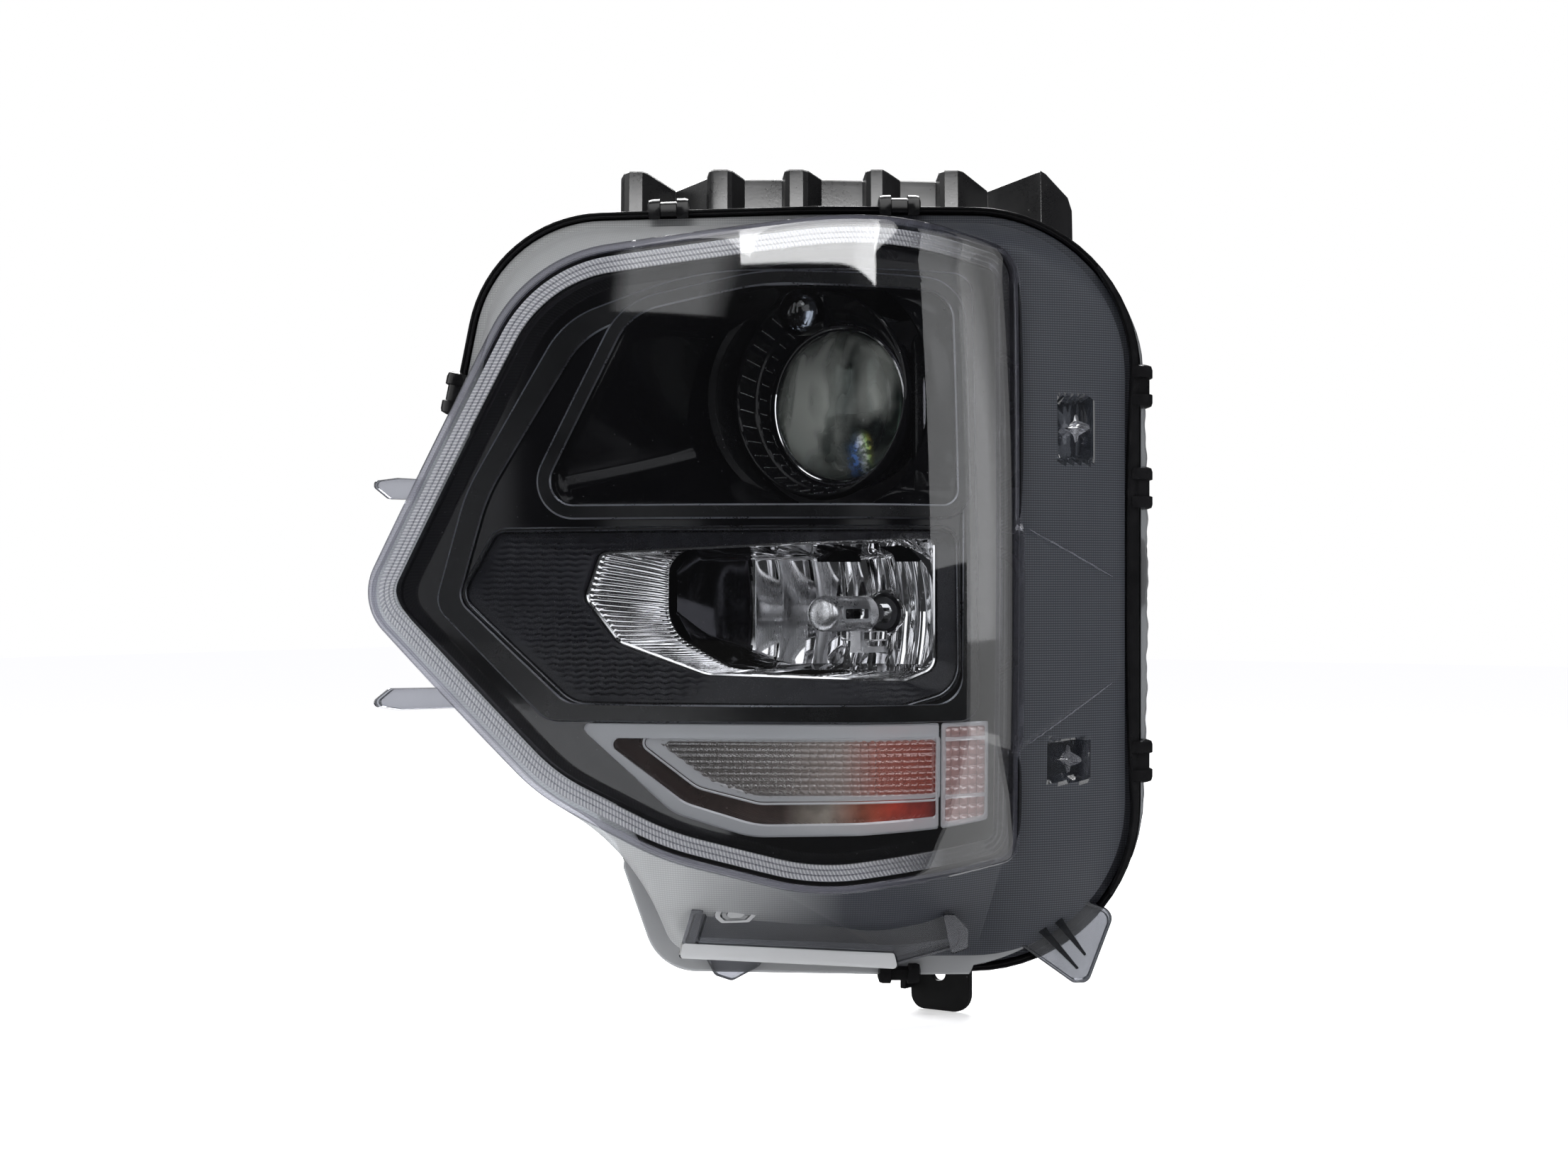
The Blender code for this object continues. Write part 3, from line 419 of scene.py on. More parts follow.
class Nodes:
    """A node tree under construction."""

    def __init__(self, tree):
        self.tree = tree
        self.tree.nodes.clear()

    def link(self, out, into):
        self.tree.links.new(out, into)

    def add(self, kind, inputs=None, **settings):
        node = self.tree.nodes.new("ShaderNode" + kind)
        for key, value in settings.items():
            setattr(node, key, value)
        for key, value in (inputs or {}).items():
            if isinstance(value, bpy.types.NodeSocket):
                self.link(value, node.inputs[key])
            else:
                node.inputs[key].default_value = value
        return node

    def math(self, operation, a, b=0.0):
        return self.add("Math", {0: a, 1: b}, operation=operation).outputs[0]

    def spread(self, value, low, high, to_low, to_high):
        return self.add("MapRange", {0: value, 1: low, 2: high, 3: to_low, 4: to_high}).outputs[0]

    def mix_colour(self, share, one, two):
        node = self.add("Mix", data_type="RGBA")
        for key, value in ((0, share), (6, one), (7, two)):
            if isinstance(value, bpy.types.NodeSocket):
                self.link(value, node.inputs[key])
            elif key == 0:
                node.inputs[0].default_value = value
            else:
                node.inputs[key].default_value = (*value, 1.0)
        return node.outputs[2]

    def ramp(self, value, stops):
        """A colour from stops of (position, colour)."""
        node = self.add("ValToRGB", {0: value})
        while len(node.color_ramp.elements) < len(stops):
            node.color_ramp.elements.new(0.5)
        for element, (where, colour) in zip(node.color_ramp.elements, stops):
            element.position = where
            element.color = (*colour, 1.0)
        return node.outputs[0]


class Finish(Nodes):
    """A node material under construction. Texture coordinates are the part's own, in millimetres."""

    def __init__(self, name):
        self.material = bpy.data.materials.new(name)
        self.material.use_nodes = True
        super().__init__(self.material.node_tree)
        self.output = self.add("OutputMaterial")
        scale = self.add("VectorMath", {"Scale": 1 / MM}, operation="SCALE")
        self.link(self.add("TexCoord").outputs["Object"], scale.inputs[0])
        self.place = scale.outputs[0]

    def along(self, direction):
        """Distance in mm along a direction of the part."""
        return self.add("VectorMath", {0: self.place, 1: direction}, operation="DOT_PRODUCT").outputs["Value"]

    def noise(self, size, detail=3.0, rough=0.5, stretch=(1, 1, 1), distortion=0.0):
        place = self.place
        if stretch != (1, 1, 1):
            place = self.add("VectorMath", {0: place, 1: stretch}, operation="MULTIPLY").outputs[0]
        wanted = {"Vector": place, "Scale": 1.0 / size, "Detail": detail, "Roughness": rough,
                  "Distortion": distortion}
        return self.add("TexNoise", wanted).outputs["Fac"]

    def specks(self, size, reach):
        """Sparse small spots, 1 inside a spot."""
        cells = self.add("TexVoronoi", {"Vector": self.place, "Scale": 1.0 / size}).outputs["Distance"]
        return self.spread(cells, reach * 0.5, reach, 1.0, 0.0)

    def bump(self, height, distance):
        return self.add("Bump", {"Height": height, "Distance": distance * MM}).outputs[0]

    def edges(self, low=0.52, high=0.62):
        """1 on convex edges."""
        return self.spread(self.add("NewGeometry").outputs["Pointiness"], low, high, 0.0, 1.0)

    def mix(self, share, one, two):
        return self.add("MixShader", {0: share, 1: one, 2: two}).outputs[0]

    def fresnel(self, index=1.585):
        """Reflectance of a clear wall, the same from either side."""
        back = self.add("NewGeometry").outputs["Backfacing"]
        return self.add("Fresnel", {"IOR": self.spread(back, 0, 1, index, 1 / index)}).outputs[0]

    def done(self, surface):
        self.link(surface, self.output.inputs["Surface"])
        return self.material


ACROSS, UPWARD = (COS, SIN, 0), (0, 0, 1)  # the face's own axes


def wave(f, direction, pitch):
    return f.math("SINE", f.math("MULTIPLY", f.along(direction), 2 * math.pi / pitch))


def plastic(name, colour, roughness, grain=0.6, depth=0.03, worn=0.25, dust=0.0, shine=0.5):
    """Moulded plastic: fine grain, slight colour drift, rubbed edges."""
    f = Finish(name)
    drift = f.noise(28.0, 4.0)
    fine = f.noise(grain, 2.0)
    light = tuple(min(1.0, c * 1.6 + 0.001) for c in colour)
    base = f.mix_colour(f.spread(drift, 0.35, 0.7, 0.0, 0.7), colour, light)
    rubbed = f.math("MULTIPLY", f.edges(), f.spread(f.noise(6.0), 0.4, 0.65, 0.0, worn))
    base = f.mix_colour(rubbed, base, tuple(min(1.0, c * 2.5 + 0.02) for c in colour))
    if dust:
        base = f.mix_colour(f.math("MULTIPLY", f.specks(9.0, 0.05), dust), base, (0.5, 0.5, 0.48))
    rough = f.spread(f.math("ADD", f.math("MULTIPLY", drift, 0.6), f.math("MULTIPLY", fine, 0.4)), 0.3, 0.7,
                     roughness * 0.8, roughness * 1.25)
    shader = f.add("BsdfPrincipled", {"Base Color": base, "Roughness": rough, "Normal": f.bump(fine, depth),
                                      "Specular IOR Level": shine})
    return f.done(shader.outputs[0])


def metal(name, colour, roughness, grain=1.2, depth=0.01, brushed=(1, 1, 1), tarnish=0.15):
    """Bare or plated metal with a faint grain and duller patches."""
    f = Finish(name)
    patches = f.noise(14.0, 4.0)
    fine = f.noise(grain, 3.0, stretch=brushed)
    base = f.mix_colour(f.spread(patches, 0.35, 0.7, 0.0, tarnish * 2), colour,
                        tuple(c * 0.6 for c in colour))
    rough = f.spread(f.math("ADD", patches, fine), 0.7, 1.3, roughness * 0.6, roughness * 1.5)
    shader = f.add("BsdfPrincipled", {"Base Color": base, "Metallic": 1.0, "Roughness": rough,
                                      "Normal": f.bump(fine, depth)})
    return f.done(shader.outputs[0])


def clear(name, tint, share_of_body=0.0, body=(0.7, 0.72, 0.78), roughness=0.02, boost=1.0, knurl=None,
          scratches=0.02, outline=0.0):
    """A thin clear wall: light goes straight through a mirror coat, less a share scattered by its body.

    body may be a function of the Finish that gives a colour, and share_of_body one that gives a share.
    """
    f = Finish(name)
    smear = f.noise(22.0, 5.0)
    normal = None
    if knurl:
        pitch, depth = knurl
        normal = f.bump(f.math("MULTIPLY", wave(f, ACROSS, pitch), wave(f, UPWARD, pitch)), depth)
    rough = f.spread(smear, 0.3, 0.8, roughness, roughness + scratches)
    gloss_in = {"Roughness": rough, "Color": (1, 1, 1, 1)}
    spread_in = {"Color": body(f) if callable(body) else (*body, 1.0), "Roughness": 0.5}
    if normal:
        gloss_in["Normal"] = normal
        spread_in["Normal"] = normal
    gloss = f.add("BsdfGlossy", gloss_in).outputs[0]
    facing = f.add("LayerWeight", {"Blend": 0.5}).outputs["Facing"]
    # outline darkens what passes through where the wall is seen at a glancing angle: painted shade on the
    # edges of the clear wall.
    passed_less_edge_shade = f.mix_colour(f.spread(facing, 0.55, 0.95, 0.0, outline), tint, (0.06, 0.065, 0.075))
    through = f.add("BsdfTransparent", {"Color": passed_less_edge_shade}).outputs[0]
    scatter = f.add("BsdfDiffuse", spread_in).outputs[0]
    pass_on = f.add("BsdfTranslucent", {"Color": spread_in["Color"]}).outputs[0]
    cloudy = f.mix(0.45, scatter, pass_on)
    share = share_of_body(f) if callable(share_of_body) else share_of_body
    dusty = f.math("MULTIPLY", f.specks(5.0, 0.035), 0.35)
    inner = f.mix(f.math("MAXIMUM", dusty, share), through, cloudy)
    return f.done(f.mix(f.math("MINIMUM", f.math("MULTIPLY", f.fresnel(), boost), 1.0), inner, gloss))


def solid_clear(name, tint, roughness=0.02, index=1.58):
    """Thick clear plastic or glass that bends light, with faint flow lines."""
    f = Finish(name)
    flow = f.noise(7.0, 2.0, distortion=0.6)
    rough = f.spread(flow, 0.3, 0.8, roughness, roughness * 3)
    shader = f.add("BsdfPrincipled", {"Base Color": (*tint, 1.0), "Roughness": rough, "IOR": index,
                                      "Transmission Weight": 1.0, "Normal": f.bump(flow, 0.02)})
    return f.done(shader.outputs[0])


def toward_right(f, low, high):
    """0 left of u = low on the face, 1 right of u = high."""
    u = f.math("ADD", f.along(ACROSS), float(SEAT[0] * COS + SEAT[1] * SIN))
    return f.spread(u, low, high, 0.0, 1.0)


def fading_right(low_share, high_share):
    """A share that falls from low_share inboard to high_share outboard."""
    return lambda f: f.spread(toward_right(f, 30.0, 80.0), 0.0, 1.0, low_share, high_share)


WEAVE_PITCH = 1.25


def skirt_colour_and_shade(f):
    """Painted light and shade: pale inboard and dark outboard, with the light threads of a fine weave."""
    # painted light and shade: the body goes from pale inboard to dark outboard
    shade = toward_right(f, -55.0, 30.0)
    plain = f.mix_colour(shade, (0.62, 0.63, 0.63), (0.045, 0.05, 0.062))
    cast = f.mix_colour(shade, (0.85, 0.86, 0.86), (0.12, 0.13, 0.155))
    level, upright = wave(f, UPWARD, WEAVE_PITCH), wave(f, ACROSS, WEAVE_PITCH)
    weave = f.math("ADD", f.math("MULTIPLY", level, 0.65), f.math("MULTIPLY", upright, 0.35))
    return f.mix_colour(f.spread(weave, -0.3, 0.9, 0.0, 1.0), plain, cast)


def skirt_share(f):
    return f.spread(toward_right(f, -60.0, 60.0), 0.0, 1.0, 0.6, 0.8)


CLEAR_FACE = clear("clear_face", (0.96, 0.965, 0.975), boost=1.25)
BORDER = clear("clear_border", (0.8, 0.8, 0.85), fading_right(0.4, 0.06), (0.27, 0.27, 0.32), 0.08)
STEP_EDGE = clear("clear_step", (0.8, 0.81, 0.85), 0.25, (0.4, 0.41, 0.45), 0.05, boost=1.6)
RIBS = clear("clear_ribs", (0.92, 0.92, 0.93), fading_right(0.72, 0.02), (0.95, 0.95, 0.94), 0.12, boost=1.3)
RIB_GAPS = clear("clear_rib_gaps", (0.85, 0.85, 0.87), fading_right(0.6, 0.02), (0.62, 0.62, 0.64), 0.12,
                 boost=1.3)
SKIRT = clear("frosted_skirt", (0.75, 0.77, 0.8), skirt_share, skirt_colour_and_shade, 0.35, 0.6, knurl=(1.1, 0.12),
              scratches=0.1)
POCKET = clear("clear_pocket", (0.5, 0.52, 0.56), 0.25, (0.1, 0.11, 0.13), 0.03, boost=3.0)
CLEAR_SOLID = clear("clear_solid", (0.72, 0.73, 0.77), 0.16, (0.75, 0.76, 0.79), 0.04, boost=5.0, outline=0.9)
SHADED_CLEAR = clear("clear_shaded", (0.6, 0.61, 0.64), 0.3, (0.3, 0.31, 0.33), 0.04, boost=5.0, outline=0.9)
# A near-black copy of the clear plastic: painted shade on the walls of clear mouldings and on the lug
# gussets.
SHADE_LINE = clear("clear_painted_shade_line", (0.08, 0.085, 0.1), 0.3, (0.05, 0.055, 0.065), 0.03, boost=4.0)
FLANGE_CLEAR = clear("clear_flange", (0.8, 0.81, 0.82), 0.6, (0.62, 0.63, 0.64), 0.1, boost=1.5, outline=0.5)
SIDE_LIP = clear("clear_side_lip", (0.45, 0.46, 0.47), 0.4, (0.5, 0.51, 0.52), 0.06, boost=3.0, outline=0.9)
# Near-black plastic laid in the lens's edge groove: painted shade.
GROOVE_SHADE = plastic("painted_groove_shade", (0.002, 0.002, 0.0025), 0.12, 0.5, 0.004, 0.1)
# A whitened copy of the clear plastic: painted light on the flats of the ledge's front bar and clips.
LIT_BAR = clear("clear_bar_painted_light", (0.88, 0.89, 0.9), 0.75, (0.95, 0.96, 0.97), 0.04, boost=3.0)
SMOKY_GLASS = solid_clear("smoky_glass", (0.3, 0.34, 0.4), 0.04, 1.5)
BULB_GLASS = solid_clear("bulb_glass", (0.97, 0.98, 0.98), 0.01, 1.47)
CASING = plastic("black_polypropylene", (0.006, 0.006, 0.0065), 0.36, 0.7, 0.04, 0.3, dust=0.25)
GLOSS_BLACK = plastic("gloss_black", (0.0012, 0.0012, 0.0016), 0.08, 0.4, 0.003, 0.05, dust=0.12, shine=0.2)
SATIN_BLACK = plastic("satin_black", (0.002, 0.0021, 0.0024), 0.24, 0.5, 0.008, 0.1, shine=0.15)
WAVY_BLACK = plastic("wavy_black", (0.006, 0.0062, 0.008), 0.26, 0.5, 0.01, 0.1, shine=0.25)
NYLON = plastic("dark_nylon", (0.02, 0.02, 0.022), 0.5, 0.6, 0.04, 0.3)
SOCKET = plastic("socket_plastic", (0.06, 0.06, 0.065), 0.5, 0.5, 0.04, 0.3, dust=0.2)
BULB_BASE = plastic("bulb_base", (0.06, 0.06, 0.065), 0.4, 0.5, 0.03, 0.3)
COVER = plastic("cover_plastic", (0.01, 0.01, 0.011), 0.44, 0.6, 0.05, 0.35, dust=0.3)
CLIP = plastic("clip_plastic", (0.004, 0.004, 0.0044), 0.22, 0.6, 0.02, 0.2, shine=0.25)
RUBBER = plastic("rubber", (0.006, 0.006, 0.006), 0.6, 0.9, 0.08, 0.1, dust=0.4)
CHROME = metal("vapour_chrome", (0.92, 0.92, 0.93), 0.04, 2.5, 0.0008, tarnish=0.06)
SHADED_CHROME = metal("shaded_chrome", (0.03, 0.03, 0.034), 0.06, 2.5, 0.001)
SATIN_CHROME = metal("satin_chrome", (0.9, 0.9, 0.92), 0.3, 1.0, 0.004)
# Bright satin metal for painted highlights on edges.
PAINTED_HIGHLIGHT_METAL = metal("painted_highlight_metal", (0.75, 0.76, 0.78), 0.35, 1.0, 0.004)
LIT_EDGE = metal("lit_edge", (0.16, 0.165, 0.18), 0.34, 1.0, 0.004)
SMOKED_CHROME = metal("smoked_chrome", (0.32, 0.32, 0.34), 0.12, 2.0, 0.006)
DARK_METAL = metal("dark_steel", (0.07, 0.07, 0.08), 0.3)
CAST_METAL = metal("cast_aluminium", (0.55, 0.56, 0.58), 0.38, 0.8, 0.03)
ZINC = metal("zinc_steel", (0.68, 0.67, 0.62), 0.28, 0.6, 0.01, (1, 0.05, 1))
AMBER = clear("amber_glass", (1.0, 0.42, 0.05), 0.3, (0.9, 0.25, 0.02), 0.03)


def turn_colour(f):
    """Grey inboard, through amber, to red at the outboard end."""
    stops = ((0.0, (0.1, 0.095, 0.09)), (0.4, (0.3, 0.27, 0.25)), (0.62, (0.5, 0.42, 0.38)),
             (0.76, (0.58, 0.2, 0.15)), (0.9, (0.5, 0.12, 0.08)), (1.0, (0.42, 0.05, 0.04)))
    return f.ramp(toward_right(f, -60.0, 82.0), stops)


TURN_GRID = clear("turn_grid", (0.8, 0.75, 0.72), 0.55, turn_colour, 0.06, boost=3.0, outline=0.3)
MARKER_GRID = clear("marker_grid", (0.92, 0.8, 0.79), 0.5, (0.72, 0.5, 0.47), 0.05, boost=3.0)
BRACKET_BLACK = plastic("bracket_black", (0.007, 0.007, 0.0075), 0.3, 1.4, 0.03, 0.35, dust=0.2)
SLEEVE = plastic("sleeve_black", (0.008, 0.008, 0.009), 0.4, 0.5, 0.02, 0.3, dust=0.3)


def turn_window():
    """Dark inboard, warming through amber to deep red outboard, glossy."""
    f = Finish("turn_window")
    stops = ((0.0, (0.03, 0.02, 0.018)), (0.42, (0.06, 0.042, 0.036)), (0.58, (0.34, 0.3, 0.25)),
             (0.7, (0.3, 0.09, 0.05)), (0.82, (0.5, 0.06, 0.035)), (0.9, (0.3, 0.04, 0.03)),
             (1.0, (0.1, 0.016, 0.014)))
    drift = f.noise(9.0, 3.0)
    warm = f.ramp(toward_right(f, -60.0, 80.0), stops)
    base = f.mix_colour(f.spread(drift, 0.4, 0.7, 0.0, 0.45), warm, (0.02, 0.014, 0.012))
    rough = f.spread(drift, 0.3, 0.7, 0.12, 0.3)
    wanted = {"Base Color": base, "Roughness": rough, "Metallic": 0.35, "Coat Weight": 0.4}
    return f.done(f.add("BsdfPrincipled", wanted).outputs[0])


TURN_WINDOW = turn_window()
TURN_RAIL = clear("turn_rail", (0.92, 0.92, 0.93), 0.42, (0.86, 0.87, 0.88), 0.04, boost=2.5)


# ---------------------------------------------------------------- outer lens

def step_height(u, z):
    outboard = smoothstep(70, 112, u)
    below = smoothstep(40, 120, -z)
    return 6.0 + 7.0 * outboard + 3.0 * below * (1 - outboard)


def rounded_box_depth(u, z, centre, half, wall=1.4):
    """1 inside a rounded rectangle of the face frame, 0 outside, with a steep wall between."""
    du, dz = np.abs(u - centre[0]) - half[0] + 3.0, np.abs(z - centre[1]) - half[1] + 3.0
    away = np.hypot(np.maximum(du, 0), np.maximum(dz, 0)) + np.minimum(np.maximum(du, dz), 0) - 3.0
    return 1 - smoothstep(-wall / 2, wall / 2, away)


POCKETS = (((149.0, 82.0), (9.0, 15.5)), ((144.5, -87.5), (10.5, 10.0)))  # middle and half size, u and z
POCKET_DEPTH, POCKET_RIM = 7.0, 0.9
CREASE_LIFT = 3.2
UPPER_CREASE, LOWER_CREASE = (32.0, -30.0), (-82.0, 38.0)  # z at the face, and its change to the rim


def skirt_relief(u, z, share):
    """How far the skirt stands out of its curve: a tapered flat between two creases, less its pockets."""
    upper = UPPER_CREASE[0] + UPPER_CREASE[1] * share - z
    lower = z - (LOWER_CREASE[0] + LOWER_CREASE[1] * share)
    flat = np.clip(np.minimum(upper, lower) / 3.0, 0, 1) * np.clip(1.15 - share, 0, 1)
    relief = CREASE_LIFT * flat * smoothstep(60, 100, u)
    for centre, half in POCKETS:
        relief = relief + POCKET_RIM * rounded_box_depth(u, z, centre, (half[0] + 2.2, half[1] + 2.2), 2.5)
        relief = relief - (POCKET_DEPTH + POCKET_RIM) * rounded_box_depth(u, z, centre, half)
    return relief


SKIRT_ROWS = 56


def lens_skirt(foot, collar):
    """Rows of points from the face's foot to the collar, with each point's share of the way, u and pocket."""
    control = (foot + collar) / 2 + FACE_NORMAL * 6.0
    sheet = []
    for t in (k / SKIRT_ROWS for k in range(1, SKIRT_ROWS + 1)):
        sheet.append(foot * (1 - t) ** 2 + control * 2 * t * (1 - t) + collar * t * t)
    sheet = np.array(sheet)
    across = np.gradient(sheet, axis=0)
    along = np.roll(sheet, -1, 1) - np.roll(sheet, 1, 1)
    normal = np.cross(along, across)
    normal /= np.maximum(np.linalg.norm(normal, axis=2), 1e-9)[:, :, None]
    normal *= np.sign((normal * FACE_NORMAL).sum(2))[:, :, None]
    u = sheet[:, :, 0] * COS + sheet[:, :, 1] * SIN
    share = np.linspace(1 / SKIRT_ROWS, 1, SKIRT_ROWS)[:, None] * np.ones((1, len(foot)))
    relief = skirt_relief(u, sheet[:, :, 2], share) * (1 - smoothstep(0.9, 1.0, share))
    sheet = sheet + normal * np.where(u > 60, relief, 0.0)[:, :, None]
    pocket = np.zeros_like(u)
    for centre, half in POCKETS:
        wide = (half[0] + 1.6, half[1] + 1.6)
        pocket = np.maximum(pocket, rounded_box_depth(u, sheet[:, :, 2], centre, wide))
    return sheet, share, u, pocket


def outer_lens():
    face = FACE_LINE
    rim = grown(RIM_LINE, -9.0)
    count = len(face)
    rings, bands = [], []

    def ring(points, band):
        rings.append(points)
        bands.append(band)

    for share in np.linspace(0.08, 0.9, 14):
        ring(on_face(scaled(face, FACE_CENTRE, share)), 0)
    inner = fine(inset_corners(FACE_CORNERS, 4.6))
    ring(on_face(inner), 0)
    ring(on_face(inner + (face - inner) * 0.5), 1)
    for out, drop in ((-1.2, 0.05), (-0.5, 0.3), (0.0, 0.9), (0.35, 1.8)):
        ring(on_face(grown(face, out), drop), 1)
    foot_line = grown(face, 1.5)
    foot_depth = lens_depth(face[:, 0], face[:, 1]) - step_height(face[:, 0], face[:, 1])
    foot = face_points(foot_line[:, 0], foot_line[:, 1], foot_depth)
    ring(foot, 2)
    collar = at_depth(rim, LIP_FRONT + 8.0)
    sheet, share, u, pocket = lens_skirt(foot, collar)
    first_sheet = len(rings)
    for row in sheet:
        ring(row, 3)
    ring(at_depth(rim, LIP_FRONT), 3)
    ring(at_depth(grown(rim, 5.0), LIP_FRONT), 3)
    index = np.repeat(bands[:-1] + [0], count).reshape(len(rings), count)
    in_pocket = index[first_sheet:first_sheet + SKIRT_ROWS]
    in_pocket[pocket > 0.5] = 4
    hub = on_face(np.array([FACE_CENTRE]))[0]
    lens = loft("outer_lens_shell", rings, [CLEAR_FACE, BORDER, STEP_EDGE, SKIRT, POCKET], cap_start=True,
                ends=(hub, None), slot="clear_polycarbonate", stands_for=("outer_lens",),
                index=index.ravel().tolist(), sharp=28)
    thicken(lens, 2.6, even_offset=False)
    pocket_pins()
    crease_highlight_beads(sheet, share, u)


def crease_highlight_beads(sheet, share, u):
    """The two long creases of the skirt, each drawn by a fine light bead that stands in for the highlight
    along it: a painted highlight.
    """
    for number, (start, slope) in enumerate((UPPER_CREASE, LOWER_CREASE), 1):
        spots = []
        for row in range(3, sheet.shape[0] - 7):
            off = sheet[row, :, 2] - (start + slope * share[row])
            best = int(np.argmin(np.abs(np.where(u[row] > 95, off, 1e3))))
            spots.append(sheet[row, best])
        spine = np.array(spots)
        spine[:, 2] = start + slope * share[3:sheet.shape[0] - 7, 0]
        spine = spine + FACE_NORMAL * 0.7
        angles = full_turn(8)[:, None]
        around = np.cos(angles) * FACE_NORMAL * 0.8 + np.sin(angles) * np.array([0, 0, 1.0])
        rings = []
        for k, spot in enumerate(spine):
            radius = 0.6 * math.sin(math.pi * (k + 0.6) / (len(spine) + 0.2)) ** 0.4
            rings.append(spot + radius * around)
        loft(f"skirt_crease_{number}", rings, STEP_EDGE, True, True, slot="clear_polycarbonate")


def pocket_pins():
    """A clear pin with cross ribs stands in each clip pocket."""
    for number, ((u, z), _) in enumerate(POCKETS, 1):
        base = face_points(u + 1.0, z, -86.0 + (u - 150) * -0.6)
        tip = base + face_points(5.0, 0.0, 9.0)
        direction = (tip - base) / np.linalg.norm(tip - base)
        side = np.cross(direction, (0, 0, 1.0))
        side /= np.linalg.norm(side)
        up = np.cross(side, direction)
        rings = []
        for along, radius in ((-1, 3.6), (1.5, 3.4), (2.2, 1.9), (9, 1.5), (10.5, 1.1), (11, 0.3)):
            angles = full_turn(32)[:, None]
            fin = 1.0 + (1.0 if along < 3 else 0.25) * np.maximum(0.0, np.cos(4 * angles)) ** 6
            around = side * np.cos(angles) + up * np.sin(angles)
            rings.append(base + direction * along + around * radius * fin)
        loft(f"clip_pocket_pin_{number}", rings, CLEAR_SOLID, True, True, slot="clear_polycarbonate")


def lens_ribs():
    """The fine cross ribs moulded inside the lens border, with two lengthwise steps."""
    centre_line = rounded(inset_corners(FACE_CORNERS, 9.0))
    length = np.linalg.norm(np.roll(centre_line, -1, 0) - centre_line, axis=1).sum()
    per_rib, pitch, skew = 5, 1.8, 0.5
    ribs = int(length / pitch)
    line = even(centre_line, ribs * per_rib)
    phase = np.arange(len(line)) % per_rib
    height = np.abs(np.sin(math.pi * phase / per_rib)) * 0.75
    profile = ((4.3, 0.2), (3.9, 0.9), (1.8, 0.9), (1.5, 0.2), (1.1, 0.2), (0.8, 0.9), (-0.9, 0.9),
               (-1.2, 0.2), (-1.6, 0.2), (-1.9, 0.9), (-3.5, 0.9), (-3.9, 0.0), (-3.9, -0.6), (4.3, -0.6))
    rings = []
    for across, base in profile:
        ring = grown(line, across)
        ribbed = base > 0.5
        lift = base + height * ribbed * (1 - smoothstep(30, 85, line[:, 0]))
        shift = int(round(skew * across / (pitch / per_rib)))
        rings.append(np.roll(on_face(ring, 4.6) + lift[:, None] * FACE_NORMAL, shift, 0))
    grooves = (3, 7)
    index = []
    for row in range(len(rings)):
        index += [2 if row in grooves else 0 if 1 <= k % per_rib <= 2 else 1 for k in range(len(line))]
    loft("lens_border_ribs", rings, [RIBS, RIB_GAPS, BORDER], loop=True, slot="clear_polycarbonate",
         index=index, sharp=60)


STEEP = 7.2  # a step's rise over its change of share, above which it is a wall


def moulding(name, corners, steps, finish=None, **more):
    """A flat clear moulding from (share of the outline, w) steps, its walls darker than its flats with
    painted shade.
    """
    line = rounded(corners, 6, 6)
    hub = line.mean(0)
    rings = [at_depth(scaled(line, hub, share), w) for share, w in steps]
    index = []
    for (one, low), (two, high) in zip(steps, steps[1:]):
        index += [int(abs(high - low) > STEEP * abs(two - one))] * len(line)
    index += [0] * (2 * len(line))
    return loft(name, rings, finish or [CLEAR_SOLID, SHADE_LINE], True, True, slot="clear_polycarbonate",
                index=index, sharp=30, **more)


def ledge():
    """The clear locating shelf under the face: a tray, its front bar, two cheeks and two moulded clips."""
    moulding("locating_ledge",
             [(-52, -184, 2), (-45, -162, 3), (83, -162, 4), (92, -170, 4), (92, -180, 4), (56, -190, 4)],
             ((0.96, -82), (1.0, -80), (1.0, -60.5), (0.985, -58.8), (0.93, -58.6), (0.915, -60.8),
              (0.3, -61.0)))
    moulding("ledge_front_bar", [(-53, -185.6, 1.5), (-51.5, -178, 1.5), (56, -183, 1.5), (58, -191, 2)],
             ((0.99, -60), (1.0, -59.5), (1.0, -54.5), (0.985, -53.6), (0.9, -53.2), (0.4, -53.1)),
             [LIT_BAR, SHADE_LINE])
    cheek = ((0.98, -60), (1.0, -59.6), (1.0, -55.5), (0.94, -54.8), (0.4, -54.7))
    moulding("ledge_cheek_1", [(-53, -184, 1), (-46.5, -161, 1.5), (-40, -161, 1.5), (-46, -184, 1)], cheek)
    corners = [(84, -184, 1), (79.5, -163.5, 1), (85.5, -163.5, 1.5), (92.5, -171, 1.5), (92.5, -181, 1.5)]
    moulding("ledge_cheek_2", corners, cheek)
    bump = ((-12, -165), (-9, -159), (9, -158.5), (12, -163), (7, -168), (-8, -168.5))
    steps = ((1.0, -64), (1.0, -57.0), (0.93, -55.4), (0.7, -54.8), (0.62, -56.2), (0.45, -56.4),
             (0.38, -54.9), (0.2, -54.7))
    for number, u in enumerate((-24.0, 51.0), 1):
        moulding(f"ledge_clip_{number}", [(u + a, z, 2.5) for a, z in bump], steps, [LIT_BAR, SHADE_LINE])


